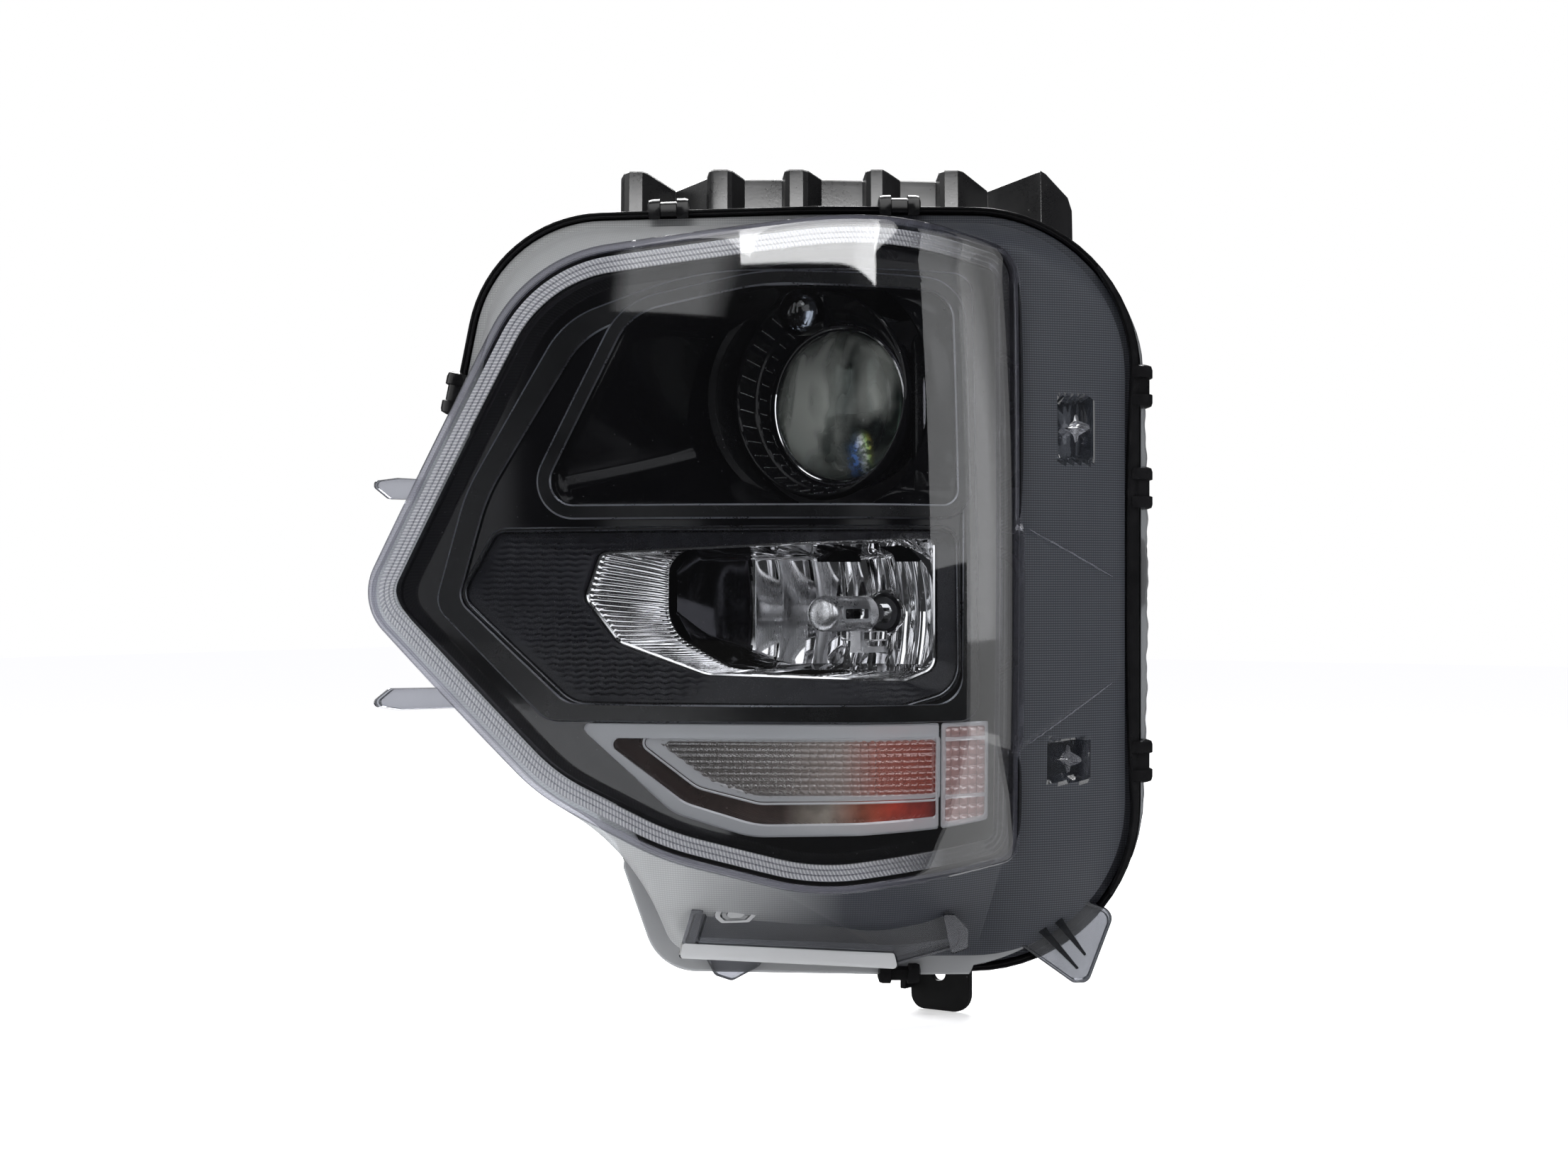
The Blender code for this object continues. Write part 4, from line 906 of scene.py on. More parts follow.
def fins_and_lugs():
    """Clear fins beside the face and the two lugs under it, each a plate with a raised edge."""
    steps = ((0.97, -98.4), (1.0, -97.9), (1.0, -95.0), (0.985, -94.5), (0.93, -94.5), (0.9, -96.0),
             (0.3, -96.2))
    for number, (z, sign, reach) in enumerate(((50.0, 1, -165.0), (-56.0, -1, -127.0)), 1):
        shape = ((reach, -5, 1), (reach, 5, 1), (-200, 7, 4), (-216, 5, 2.5), (-205, -4, 3))
        moulding(f"lens_fin_{number}", [(u, z + sign * up, radius) for u, up, radius in shape][::sign], steps)
    right = [(112, -178, 3), (150, -205, 4), (158, -205, 5), (172, -168, 6), (150, -160, 5)]
    left = [(-44, -186, 2), (-36, -201, 4), (-27, -204, 4), (-12, -196, 6), (-6, -180, 3)]
    steps = ((0.96, -102.8), (1.0, -102.3), (1.0, -98.8), (0.985, -98.2), (0.92, -98.2), (0.89, -100.0),
             (0.25, -100.3))
    for number, (corners, finish) in enumerate(((left, CLEAR_SOLID), (right, SHADED_CLEAR)), 1):
        moulding(f"lens_lug_{number}", corners[::-1], steps, [finish, SHADE_LINE])
    for number, (a, b) in enumerate((((133, -176), (152, -197)), ((142, -172), (156, -190))), 1):
        a, b = np.array(a, float), np.array(b, float)
        side = np.array([b[1] - a[1], a[0] - b[0]]) / np.linalg.norm(b - a) * 2.4
        corners = [(*(b + side * 0.3), 0.3), (*(b - side * 0.3), 0.3), (*(a - side), 0.8), (*(a + side), 0.8)]
        moulding(f"lug_gusset_{number}", corners, ((1.0, -101), (1.0, -95.0), (0.8, -94.2), (0.3, -94.1)),
                 [SHADE_LINE, SHADE_LINE])


def lower_flange():
    """The frosted flange of the lens that wraps the rim along its lower edge."""
    rim = RIM_LINE
    keep = np.where((rim[:, 1] < -118) & (rim[:, 0] < 150))[0]
    breaks = np.where(np.diff(keep) > 1)[0]
    run = np.concatenate([keep[breaks[0] + 1:], keep[:breaks[0] + 1]]) if len(breaks) else keep
    outer = grown(rim, 1.3)[run]
    inner = grown(rim, -10.5)[run]
    share = np.linspace(0, 1, len(run))
    taper = (smoothstep(0, 0.04, share) * (1 - smoothstep(0.9, 1.0, share)))[:, None]
    rings = []
    section = ((0.0, -101.4), (0.4, -101.6), (0.92, -101.9), (1.0, -102.8), (1.0, -112.0), (0.93, -112.0),
               (0.93, -102.9), (0.0, -102.4))
    for across, w in section:
        line = inner + (outer - inner) * across * (0.15 + 0.85 * taper)
        rings.append(at_depth(line, w))
    bar("skirt_flange", rings, FLANGE_CLEAR, slot="clear_polycarbonate", sharp=40)


def side_flange():
    """The clear outer lip of the lens, standing past the black rim down the outboard side."""
    rim = RIM_LINE
    keep = np.where((rim[:, 0] > 150) & (rim[:, 1] > -150) & (rim[:, 1] < 150))[0]
    line, count = rim[keep], len(keep)
    swell = (np.sin(np.pi * np.linspace(0, 1, count)) ** 0.4)[:, None]
    waver = 0.35 * np.sin(line[:, 1] * 0.21) + 0.25 * np.sin(line[:, 1] * 0.57)
    rings = []
    section = ((0.4, -111.0), (3.6, -110.6), (4.6, -111.4), (4.9, -113.5), (4.6, -118.0), (3.4, -118.6),
               (0.4, -118.6))
    for out, w in section:
        reach = (0.4 + (out - 0.4) * swell[:, 0]) + waver * (out > 3.0) * swell[:, 0]
        spot = line + (grown(rim, 1.0)[keep] - line) * reach[:, None]
        rings.append(at_depth(spot, w))
    bar("side_flange", rings, SIDE_LIP, slot="clear_polycarbonate", sharp=40)


def rim_channel():
    """The glossy black channel between the skirt and the rim, down the outboard side."""
    rim = RIM_LINE
    keep = np.where((rim[:, 0] > 140) & (rim[:, 1] > -165) & (rim[:, 1] < 172))[0]
    line, away = rim[keep], (grown(rim, 1.0) - rim)[keep]
    count = len(keep)
    swell = np.sin(np.pi * np.linspace(0, 1, count)) ** 0.5
    rings = []
    section = ((-8.4, -99.8), (-8.0, -98.3), (-6.6, -97.5), (-3.4, -98.2), (-1.6, -99.6), (-1.2, -101.5),
               (-1.2, -104.0), (-8.4, -104.0))
    for out, w in section:
        spot = line + away * (-1.2 + (out + 1.2) * (0.25 + 0.75 * swell))[:, None]
        rings.append(at_depth(spot, w))
    bar("rim_channel", rings, CLIP, slot="black_polypropylene", sharp=40)


def edge_gaps():
    """Near-black strips of painted shade in the groove between the face's outboard edge and the skirt, above
    and below the flat.
    """
    face = FACE_LINE
    for number, (low, high) in enumerate(((34, 156), (-128, -84)), 1):
        keep = np.where((face[:, 1] > low) & (face[:, 1] < high) & (face[:, 0] > 100))[0]
        line, along = grown(face, 1.0)[keep], face[keep]
        share = np.sin(np.pi * np.linspace(0, 1, len(keep))) ** 0.35
        rings = []
        for out, drop in ((0.2, 0.9), (0.9, 0.7), (2.4, 3.6), (2.4, 5.2), (0.4, 5.2)):
            spot = along + (line - along) * (0.2 + (out - 0.2) * share)[:, None]
            rings.append(face_points(spot[:, 0], spot[:, 1], lens_depth(along[:, 0], along[:, 1]) - drop))
        bar(f"face_edge_groove_{number}", rings, GROOVE_SHADE, slot="clear_polycarbonate", sharp=40)


outer_lens()
lower_flange()
side_flange()
rim_channel()
edge_gaps()
lens_ribs()
ledge()
fins_and_lugs()


# ---------------------------------------------------------------- bezel and chambers

BAND_OUTER = [(-176, -9, 12), (-160, 48, 90), (-110, 134, 45), (-45, 157, 160), (95, 158, 10), (97, -66, 9),
              (-118, -66, 14)]
BAND_INNER = [(-163, -6, 10), (-148, 46, 90), (-100, 124, 40), (-43, 148.5, 150), (89, 150, 9), (88, -57, 14),
              (-107, -57, 16)]
BAND_LIFT = 2.2


def main_bezel():
    border = rounded(inset_corners(FACE_CORNERS, BEZEL_INSET), 20, 60)
    rings = [on_face(scaled(border, FACE_CENTRE, share), BEZEL_DEPTH)
             for share in np.linspace(0.15, 0.97, 16)]
    rings.append(on_face(scaled(border, FACE_CENTRE, 0.99), BEZEL_DEPTH + 0.1))
    rings.append(on_face(border, BEZEL_DEPTH + 0.8))
    rings.append(rings[-1] + np.array([0, BEZEL_RETURN, 0]))
    hub = on_face(np.array([FACE_CENTRE]), BEZEL_DEPTH)[0]
    sheet = loft("bezel_sheet", rings, GLOSS_BLACK, cap_start=True, ends=(hub, None),
                 slot="gloss_black_bezel", stands_for=("main_bezel",))
    thicken(sheet, TRIM_WALL)
    windows = [
        plate("window_shape", rounded(corners, 12, 8), -110.0, 5.0, face_points, GLOSS_BLACK, body=None)
        for corners in (UPPER_OPENING, LOWER_OPENING, TURN_OPENING)
    ]
    combine(sheet, windows, "DIFFERENCE")
    band("bezel_band_outer", rounded(BAND_OUTER), rounded(BAND_INNER), BAND_LIFT)
    upper = rounded(UPPER_OPENING)
    band("bezel_band_upper", grown(upper, 7.2), grown(upper, -0.2), BAND_LIFT + 0.8)
    lower = rounded(LOWER_OPENING)
    band("bezel_band_lower", grown(lower, 2.0), grown(lower, -0.2), 1.2, 0.6)


def band(name, outer, inner, lift, chamfer=0.9):
    """A raised satin frame on the bezel, its chamfers in a grey metal that paints their highlights."""
    step = (inner - outer) / np.linalg.norm(inner - outer, axis=1)[:, None]
    profile = ((outer, 1.5), (outer, -lift + chamfer), (outer + step * chamfer, -lift),
               (inner - step * chamfer, -lift), (inner, -lift + chamfer), (inner, 1.5))
    rings = [on_face(line, BEZEL_DEPTH + behind) for line, behind in profile]
    count = len(outer)
    index = [1] * count + [2] * count + [0] * count + [2] * count + [1] * 2 * count
    loft(name, rings, [SATIN_BLACK, GLOSS_BLACK, LIT_EDGE], loop=True, slot="gloss_black_bezel", index=index,
         sharp=25)


def upper_liner():
    count = 240
    start = BEZEL_DEPTH + TRIM_WALL + 2.6
    hub = (LOW_BEAM[0] * COS + (TRIM_FRONT + 12) * SIN, LOW_BEAM[2] + TRIM_LIFT)
    outline = grown(from_centre(coarse(UPPER_OPENING), hub, count), -0.5)
    front = on_face(outline, start)
    ray = (outline - hub) / np.linalg.norm(outline - hub, axis=1)[:, None]
    hole_x, hole_z = LOW_BEAM[0] + 60 * ray[:, 0], LOW_BEAM[2] + TRIM_LIFT + 60 * ray[:, 1]
    hole = np.stack([hole_x, np.full(count, TRIM_FRONT + 12), hole_z], 1)
    reach = np.linalg.norm(hole - front, axis=1)[:, None]
    floor = front + (hole - front) * 0.6 + reach * np.array([0, 0.2, 0])
    control = floor + (floor - (front + hole) / 2) * 0.7
    rings = [front]
    for t in np.linspace(0, 1, 22)[1:]:
        rings.append(front * (1 - t) ** 2 + (control + floor) * t * (1 - t) + hole * t * t)
    rings.append(hole + np.array([0, 3.0, 0]))
    liner = loft("upper_chamber_walls", rings, GLOSS_BLACK, slot="gloss_black_bezel",
                 stands_for=("upper_chamber_liner",))
    thicken(liner, TRIM_WALL, 1.0)


def projector_surround():
    """A crescent wall that stands forward of the liner's hole, inboard of the projector."""
    steps = 90
    angles = np.linspace(math.radians(112), math.radians(248), steps)
    centre = np.array([LOW_BEAM[0], 0, LOW_BEAM[2] + TRIM_LIFT])
    rise = np.sin(np.linspace(0, math.pi, steps)) ** 0.7
    front = TRIM_FRONT + 10 - 20 * rise
    section = ((62.5, TRIM_FRONT + 14), (62.5, front + 1.2), (61.8, front), (58.4, front + 1.0),
               (57.6, front + 2.6), (57.6, TRIM_FRONT + 14))
    lines = [circle(centre, radius, y, angles) for radius, y in section]
    bar("projector_surround", lines, SATIN_BLACK, slot="gloss_black_bezel", sharp=40)


def raised(name, line, hub, steps, finish, **more):
    """A solid that follows the face: (share of the outline, depth behind the face) steps."""
    rings = [on_face(scaled(line, hub, share), behind) for share, behind in steps]
    return loft(name, rings, finish, True, True, **more)


def chamber_pillar():
    """The upright at the chamber's outboard end, with a rounded boss in its side."""
    line = rounded([(64.5, 44, 8), (64.5, 130, 9), (80, 132, 6), (80, 42, 4)], 10, 14)
    steps = ((1.0, 50), (1.0, 40), (1.0, 34.5), (0.96, 32.6), (0.88, 31.6), (0.7, 31.0), (0.35, 30.8))
    raised("chamber_pillar", line, (72, 88), steps, SATIN_BLACK, slot="gloss_black_bezel")
    boss = rounded([(69, 76, 4), (69, 108, 4), (79, 111, 4), (79, 73, 4)], 8, 10)
    steps = ((1.0, 32.5), (1.0, 28.6), (0.94, 27.4), (0.8, 26.8), (0.5, 26.5))
    raised("chamber_boss", boss, (74.5, 92), steps, SMOKED_CHROME, slot="gloss_black_bezel")


def lower_liner():
    """The lower chamber's wall: a shallow funnel, rippled where it is wide inboard."""
    count, steps = 900, 44
    hub = (-8.0, -10.0)
    outline = grown(from_centre(coarse(LOWER_OPENING), hub, count), -0.4)
    edge = grown(from_centre(coarse(REFLECTOR_EDGE), hub, count), 0.8)
    front, back = on_face(outline, BEZEL_DEPTH + TRIM_WALL + 1.6), on_face(edge, BEZEL_DEPTH + 9)
    rings = []
    width = np.linalg.norm(outline - edge, axis=1)
    for t in np.linspace(0, 1, steps):
        line = outline * (1 - t) + edge * t
        ripple = np.sin(line[:, 1] * 2 * math.pi / 2.9 + 0.9 * np.sin(line[:, 0] * 2 * math.pi / 7.5))
        ripple *= smoothstep(14, 26, width) * smoothstep(0.08, 0.16, t) * (1 - smoothstep(0.9, 0.96, t))
        rings.append(front * (1 - t) + back * t + FACE_NORMAL * (ripple * 0.32)[:, None])
    liner = loft("lower_chamber_walls", rings, WAVY_BLACK, slot="gloss_black_bezel",
                 stands_for=("lower_chamber_liner",), sharp=50)
    thicken(liner, TRIM_WALL - 0.4, 1.0, False)


def reflector_mouth(x):
    return 20.0 + 0.6 * (x + 80.0)


MOUTH_CORNERS = [(-80, 22, 16), (34, 25, 6), (34, -42, 8), (-52, -42, 20), (-80, -22, 22)]


def mouth_ring(inset, shift, count):
    line = grown(from_centre(coarse(MOUTH_CORNERS), (HIGH_BEAM[0], HIGH_BEAM[2]), count), -inset)
    return np.stack([line[:, 0], reflector_mouth(line[:, 0]) + shift, line[:, 1]], 1)


def flute_trim():
    """The bright trim round the reflector's mouth, its flutes running from its outer edge to the mouth."""
    per_flute, flutes = 6, 190
    count = per_flute * flutes
    hub = (-8.0, -10.0)
    line = coarse(REFLECTOR_EDGE)
    matched = from_centre(line, hub, count)
    start = on_face(grown(matched, -0.2), BEZEL_DEPTH + 11.0)
    end = mouth_ring(1.0, -1.5, count)
    away = start - end
    reach = np.linalg.norm(away, axis=1)[:, None]
    end = end + away / reach * 4.5
    wave = np.abs(np.sin(math.pi * (np.arange(count) % per_flute) / per_flute))
    wide = smoothstep(8, 20, reach[:, 0])
    rings = []
    for t in np.linspace(0, 1, 14):
        fade = smoothstep(0.0, 0.08, t) * (1 - smoothstep(0.93, 1.0, t))
        bow = math.sin(math.pi * t) * 0.06
        ring = start * (1 - t) + end * t + np.array([0, 1.0, 0]) * reach * bow
        rings.append(ring - FACE_NORMAL * (wave * wide * 0.75 * fade)[:, None])
    trim = loft("high_beam_flutes", rings, CHROME, slot="vapour_chrome", stands_for=("high_beam_flute_trim",),
                sharp=30)
    thicken(trim, 1.0, 1.0, False)
    rim = [on_face(grown(matched, out), BEZEL_DEPTH + behind) for out, behind in
           ((0.7, 9.6), (0.5, 8.9), (-0.3, 8.7), (-1.2, 9.2), (-1.4, 10.6), (0.6, 10.6))]
    loft("high_beam_flute_rim", rim, CHROME, loop=True, slot="vapour_chrome")


def closed_sheet(name, front, back, finish, index=None, **more):
    """A thin shell between two matching grids of points, closed round its edge."""
    rows, columns = front.shape[:2]
    size = rows * columns
    faces = grid_faces(rows, columns, False)
    index = list(index) * 2 if index is not None else [0] * (2 * len(faces))
    faces += [tuple(size + k for k in reversed(face)) for face in faces]
    edge = [*range(columns)] + [i * columns + columns - 1 for i in range(1, rows)]
    edge += [(rows - 1) * columns + j for j in reversed(range(columns - 1))]
    edge += [i * columns for i in reversed(range(1, rows - 1))]
    faces += [(one, size + one, size + two, two) for one, two in zip(edge, edge[1:] + edge[:1])]
    index += [0] * len(edge)
    return piece(name, np.vstack([front.reshape(-1, 3), back.reshape(-1, 3)]), faces, finish, index=index,
                 **more)


BOWL_INBOARD, BOWL_OUTBOARD, BOWL_VERTICAL = 49.0, 296.0, 124.0
FLUTE_DEPTH, SHADED_UP_TO = 1.7, -16.0


def high_beam_reflector():
    """Upright flutes over a deep bowl, plain inboard and in dark shaded chrome there as a painted dark
    reflection, with steep walls and two slots in its roof.
    """
    outline = even(coarse(MOUTH_CORNERS), 4000)
    left, right, per_flute, pitch = -80.0, 34.0, 16, 11.0
    x = right - np.concatenate([[0.0, 0.5, 1.0], np.arange(2, 157) * pitch / per_flute, [right - left]])[::-1]
    x = x[x >= left]
    near = [outline[np.abs(outline[:, 0] - one) < 0.12, 1] for one in x]
    top, bottom = np.array([n.max() for n in near]), np.array([n.min() for n in near])
    rise = np.concatenate([[0, 0.006, 0.016, 0.03, 0.045], np.linspace(0.06, 0.94, 70),
                           [0.955, 0.97, 0.984, 0.994, 1]])
    z = bottom + (top - bottom) * rise[:, None]
    x = np.broadcast_to(x, z.shape)
    mouth = reflector_mouth(x)
    reach = x - HIGH_BEAM[0]
    bow = np.where(reach < 0, BOWL_INBOARD, BOWL_OUTBOARD)
    bowl = HIGH_BEAM[1] - 0.5 - reach ** 2 / bow - (z - HIGH_BEAM[2]) ** 2 / BOWL_VERTICAL
    walls = 1 - (1 - np.clip(np.minimum((z - bottom) / 3.0, (top - z) / 8.0), 0, 1)) ** 2
    walls = walls * (1 - (1 - np.clip((right - x) / 3.0, 0, 1)) ** 2)
    y = mouth + np.maximum(bowl - mouth, 0.3) * walls
    across = x * COS + y * SIN
    strip = ((right - x) / pitch) % 1.0
    scallop = 1 - (2 * strip - 1) ** 2
    y = y - FLUTE_DEPTH * scallop * walls * smoothstep(-20, -12, across)
    front = np.stack([x, y, z], 2)
    back = np.stack([(x + 23) * 1.015 - 23, y + 2.0, (z + 9) * 1.03 - 9], 2)
    middle_of = (across[:-1, :-1] + across[1:, 1:]) / 2
    # Faces inboard of the limit take shaded chrome: a painted dark reflection on the chrome.
    index = (middle_of < SHADED_UP_TO).astype(int).ravel().tolist()
    reflector = closed_sheet("high_beam_reflector_facets", front, back, [CHROME, SHADED_CHROME], index,
                             body="carrier", slot="vapour_chrome", stands_for=("high_beam_reflector",),
                             sharp=32)
    cuts = [box("slot_shape", (low, 88, 13.5), (high, 125, 40), CHROME, body=None)
            for low, high in ((-41.0, -23.0), (-3.0, 12.0))]
    cuts.append(turned("hole_shape", [(0, -12), (10.4, -12), (10.4, 25), (0, 25)], HIGH_BEAM, CHROME, 64,
                       body=None))
    combine(reflector, cuts, "DIFFERENCE", "MANIFOLD", 32)
    ring = [(10.2, -1.0), (10.2, 3.0), (10.8, 3.6), (11.6, 3.4), (13.4, 0.6), (13.4, -1.0)]
    turned("high_beam_collar", ring, HIGH_BEAM, CHROME, 96, body="carrier", slot="vapour_chrome")
    bulb_shield()


def bulb_shield():
    """A ribbed capsule over the bulb: a long framed slot, ears at its root and a leg to the reflector."""
    count, radius, root, tip = 96, 9.0, 22.0, 62.3
    angles = full_turn(count)
    x, y, z = HIGH_BEAM
    rings = []

    def ring(forward, size, ribbed=False):
        depth = 0.32 * (abs(math.sin(math.pi * forward / 1.3)) if ribbed else 0.0)
        around = size - depth * smoothstep(0.25, 0.5, np.abs(np.sin(angles)))
        rings.append(circle(HIGH_BEAM, around, y - forward, angles))

    for forward, size in ((0.0, 0.1), (0.1, 0.5), (0.5, 0.78), (1.4, 0.92), (2.6, 0.98), (4.0, 1.0)):
        ring(tip - forward, radius * size)
    for forward in np.arange(tip - 5.0, root + 6.0, -0.325):
        ring(forward, radius, True)
    for forward, size in ((root + 4, 1.0), (root, 1.0), (root, 0.86), (root + 4, 0.86), (tip - 8, 0.86),
                          (tip - 4, 0.7), (tip - 2.5, 0.1)):
        ring(forward, radius * size)
    shield = loft("bulb_shield_cap", rings, SATIN_CHROME, True, True, body="carrier", slot="vapour_chrome",
                  stands_for=("bulb_shield",), sharp=40)
    slot = box("slot_shape", (x + 5.0, y - tip + 9, z - 2.6), (x + 15, y - root - 10, z + 2.6), CHROME,
               body=None)
    leg = box("leg_shape", (x - 3, y - 30, z - 19), (x + 3, y - 23, z - 8.0), CHROME, body=None)
    foot = box("foot_shape", (x - 4, y - 29, z - 20), (x + 4, y - 6.5, z - 17), CHROME, body=None)
    combine(shield, [slot], "DIFFERENCE")
    combine(shield, [leg, foot], "UNION")
    frame, hole = [
        rounded([(fore, half, round_by), (aft, half, round_by), (aft, -half, round_by),
                 (fore, -half, round_by)], 6, 10)
        for fore, aft, half,
        round_by in ((-tip + 7.4, -root - 8.4, 4.2, 2), (-tip + 9.2, -root - 10.2, 2.5, 1))
    ]
    steps = ((frame, radius - 1.4), (frame, radius + 0.5), (hole, radius + 0.5), (hole, radius - 2.0))
    rings = [np.stack([np.full(len(line), x + out), y + line[:, 0], z + line[:, 1]], 1)
             for line, out in steps]
    # The slot frame's bright metal is a painted highlight: the bright outline round the slot.
    loft("bulb_shield_slot_frame", rings, PAINTED_HIGHLIGHT_METAL, loop=True, body="carrier", slot="vapour_chrome",
         sharp=30)
    ears = [(x - 9.5, z - 10, x - 4.5), (x + 4.5, z - 10, x + 9.5)]
    for number, (low, base, high) in enumerate(ears, 1):
        block(f"bulb_shield_ear_{number}", (low, y - 30, base - 4), (high, y - 14, base + 1.4), 0.9, 3,
              CHROME, body="carrier", slot="vapour_chrome")


main_bezel()
upper_liner()
projector_surround()
chamber_pillar()
lower_liner()
flute_trim()
high_beam_reflector()


# ---------------------------------------------------------------- projector

def glass_with_painted_light():
    """Thick optical glass mixed with painted streaks of the lit interior seen through it, and a painted
    rainbow glint of split colours low outboard.
    """
    f = Finish("projector_glass")
    at = LOW_BEAM - SEAT
    across = f.math("SUBTRACT", f.along(ACROSS), float(at[0] * COS + at[1] * SIN))
    upward = f.math("SUBTRACT", f.along(UPWARD), float(at[2]))
    painted_streak = f.noise(30.0, 2.0, 0.5, (1.2, 1.2, 0.6), 0.8)
    # painted light: streaks of the lit bowl seen through the glass
    body = f.mix_colour(f.spread(painted_streak, 0.38, 0.62, 0.0, 1.0), (0.012, 0.014, 0.014), (0.3, 0.31, 0.28))
    slanted = f.math("ADD", across, f.math("MULTIPLY", upward, 0.25))
    stops = ((0.0, (0.1, 0.2, 0.5)), (0.35, (0.75, 0.78, 0.75)), (0.55, (0.4, 0.6, 0.2)),
             (0.75, (0.7, 0.6, 0.1)), (1.0, (0.6, 0.25, 0.08)))
    # a painted rainbow glint: the spot of split colours low outboard
    du = f.math("DIVIDE", f.math("SUBTRACT", across, 10.0), 7.0)
    dz = f.math("DIVIDE", f.math("ADD", upward, 26.0), 13.0)
    away = f.math("ADD", f.math("MULTIPLY", du, du), f.math("MULTIPLY", dz, dz))
    spot = f.math("MULTIPLY", f.spread(away, 0.3, 1.0, 1.0, 0.0),
                  f.spread(f.noise(3.0, 2.0), 0.35, 0.6, 0.1, 1.0))
    body = f.mix_colour(spot, body, f.ramp(f.spread(slanted, 1.0, 13.0, 0.0, 1.0), stops))
    inner = f.add("BsdfDiffuse", {"Color": body}).outputs[0]
    bent = f.add("BsdfGlass", {"Color": (0.8, 0.88, 0.84, 1), "Roughness": 0.01, "IOR": 1.52}).outputs[0]
    share = f.math("MAXIMUM", f.spread(painted_streak, 0.38, 0.62, 0.25, 0.6), f.math("MULTIPLY", spot, 0.75))
    return f.done(f.mix(share, bent, inner))


def projector():
    at = LOW_BEAM
    dome = [(0, 15.0)]
    for k in range(1, 40):
        angle = k / 40 * math.pi / 2
        radius = 38.0 * math.sin(angle)
        groove = 0.05 * math.cos(radius * 2 * math.pi / 0.9) * (radius < 7.5)
        dome.append((radius, 15.0 * math.cos(angle) + groove))
    dome += [(38.0, 0.4), (37.8, 0), (37.8, -3.8), (37.2, -4), (0, -4)]
    turned("projector_glass", dome, at, glass_with_painted_light(), 128, body="carrier", slot="clear_glass",
           stands_for=("projector_lens",), sharp=50)
    ring = [(41, 0.6), (40.6, 1.1), (39.4, 1.2), (38.5, 0.7), (38.3, 0.0), (38.3, -4.3), (33, -4.3),
            (33, -17.7), (41, -17.7), (41, -6), (41.0, -1)]
    turned("projector_lens_seat", ring, at, DARK_METAL, 96, body="carrier", slot="dark_steel",
           stands_for=("projector_lens_holder",))
    bright = [(39.9, 1.9), (39.3, 2.3), (38.8, 2.1), (38.7, 1.5), (39.9, 1.4)]
    turned("projector_lens_ring", bright, at, CHROME, 96, body="carrier", slot="vapour_chrome")
    trim_ring()


def trim_ring():
    """The cone round the glass: flat facets over its lower inboard half, smooth above, with a mid step, and
    bright strips on the facet creases as painted highlights.
    """
    front = LOW_BEAM[1] - TRIM_FRONT
    facets, sub = 36, 6
    count = facets * sub
    angles = full_turn(count)
    which = np.arange(count) // sub
    start = 2 * math.pi * which / facets
    half = math.pi / facets
    chord = math.cos(half) / np.cos(angles - start - half)
    inboard = smoothstep(-0.2, 0.3, -np.cos(angles - math.radians(40)))
    facet = 1 - (1 - chord) * inboard * 2.2
    rings = []
    profile = ((52, front - 0.6, 0), (52.0, front - 5, 0), (44, 2, 0), (44, -4, 0), (41.6, -4, 0),
               (41.6, 2, 0), (42.6, 4.4, 1), (44.6, 9.0, 1), (45.0, 9.5, 0), (46.2, 9.7, 0), (46.6, 10.3, 0),
               (48.6, 14.5, 1), (50.2, front - 1.0, 1), (50.6, front - 0.1, 0), (51.4, front, 0))
    for radius, forward, faceted in profile:
        lift = TRIM_LIFT * max(0.0, (forward - 2) / (front - 2))
        middle_of = LOW_BEAM + (0, 0, lift)
        rings.append(circle(middle_of, radius * (facet if faceted else 1.0), LOW_BEAM[1] - forward, angles))
    loft("projector_trim_cone", rings, GLOSS_BLACK, loop=True, body="carrier", slot="gloss_black_bezel",
         stands_for=("projector_trim_ring",), sharp=9)
    # Thin bright metal strips on the facet creases: painted highlights.
    section = ((-0.35, -0.6), (-0.2, 0.35), (0.2, 0.35), (0.35, -0.6))
    for number in range(19):
        angle = math.radians(96 + number * 10)
        out = np.array([math.cos(angle), 0, math.sin(angle)])
        side = np.array([-math.sin(angle), 0, math.cos(angle)])
        spans = (((43.0, 4.8), (44.4, 8.6)), ((47.0, 10.9), (50.0, front - 1.4)))
        for row, (low, high) in enumerate(spans, 1):
            corners = []
            for radius, forward in (low, high):
                lift = TRIM_LIFT * (forward - 2) / (front - 2)
                spot = LOW_BEAM + (0, -forward, lift) + out * radius * 0.994
                corners.append([spot + side * a - out * b for a, b in section])
            prism(f"trim_facet_edge_{row}_{number + 1}", *corners, PAINTED_HIGHLIGHT_METAL, body="carrier",
                  slot="vapour_chrome")


def position_lamp():
    at = np.array([-17.0, 38.0, 136.5])
    dome = [(0, 8)] + [(9 * math.sin(a), 8 * math.cos(a)) for a in np.linspace(0.1, math.pi / 2, 12)]
    dome += [(9, -1), (8.6, -1.4), (8.6, -6), (0, -6)]
    turned("position_lamp_dome", dome, at, SMOKY_GLASS, 14, slot="clear_glass",
           stands_for=("position_lamp_lens",), sharp=8)
    cup = [(10.6, 1.5), (10.9, 2.2), (11.4, 2.2), (11.6, 1.5), (11.0, -6), (9.4, -6.2), (9.3, -5)]
    turned("position_lamp_cup", cup, at, SHADED_CHROME, 64, slot="vapour_chrome")


projector()
position_lamp()


# ---------------------------------------------------------------- turn signal and marker

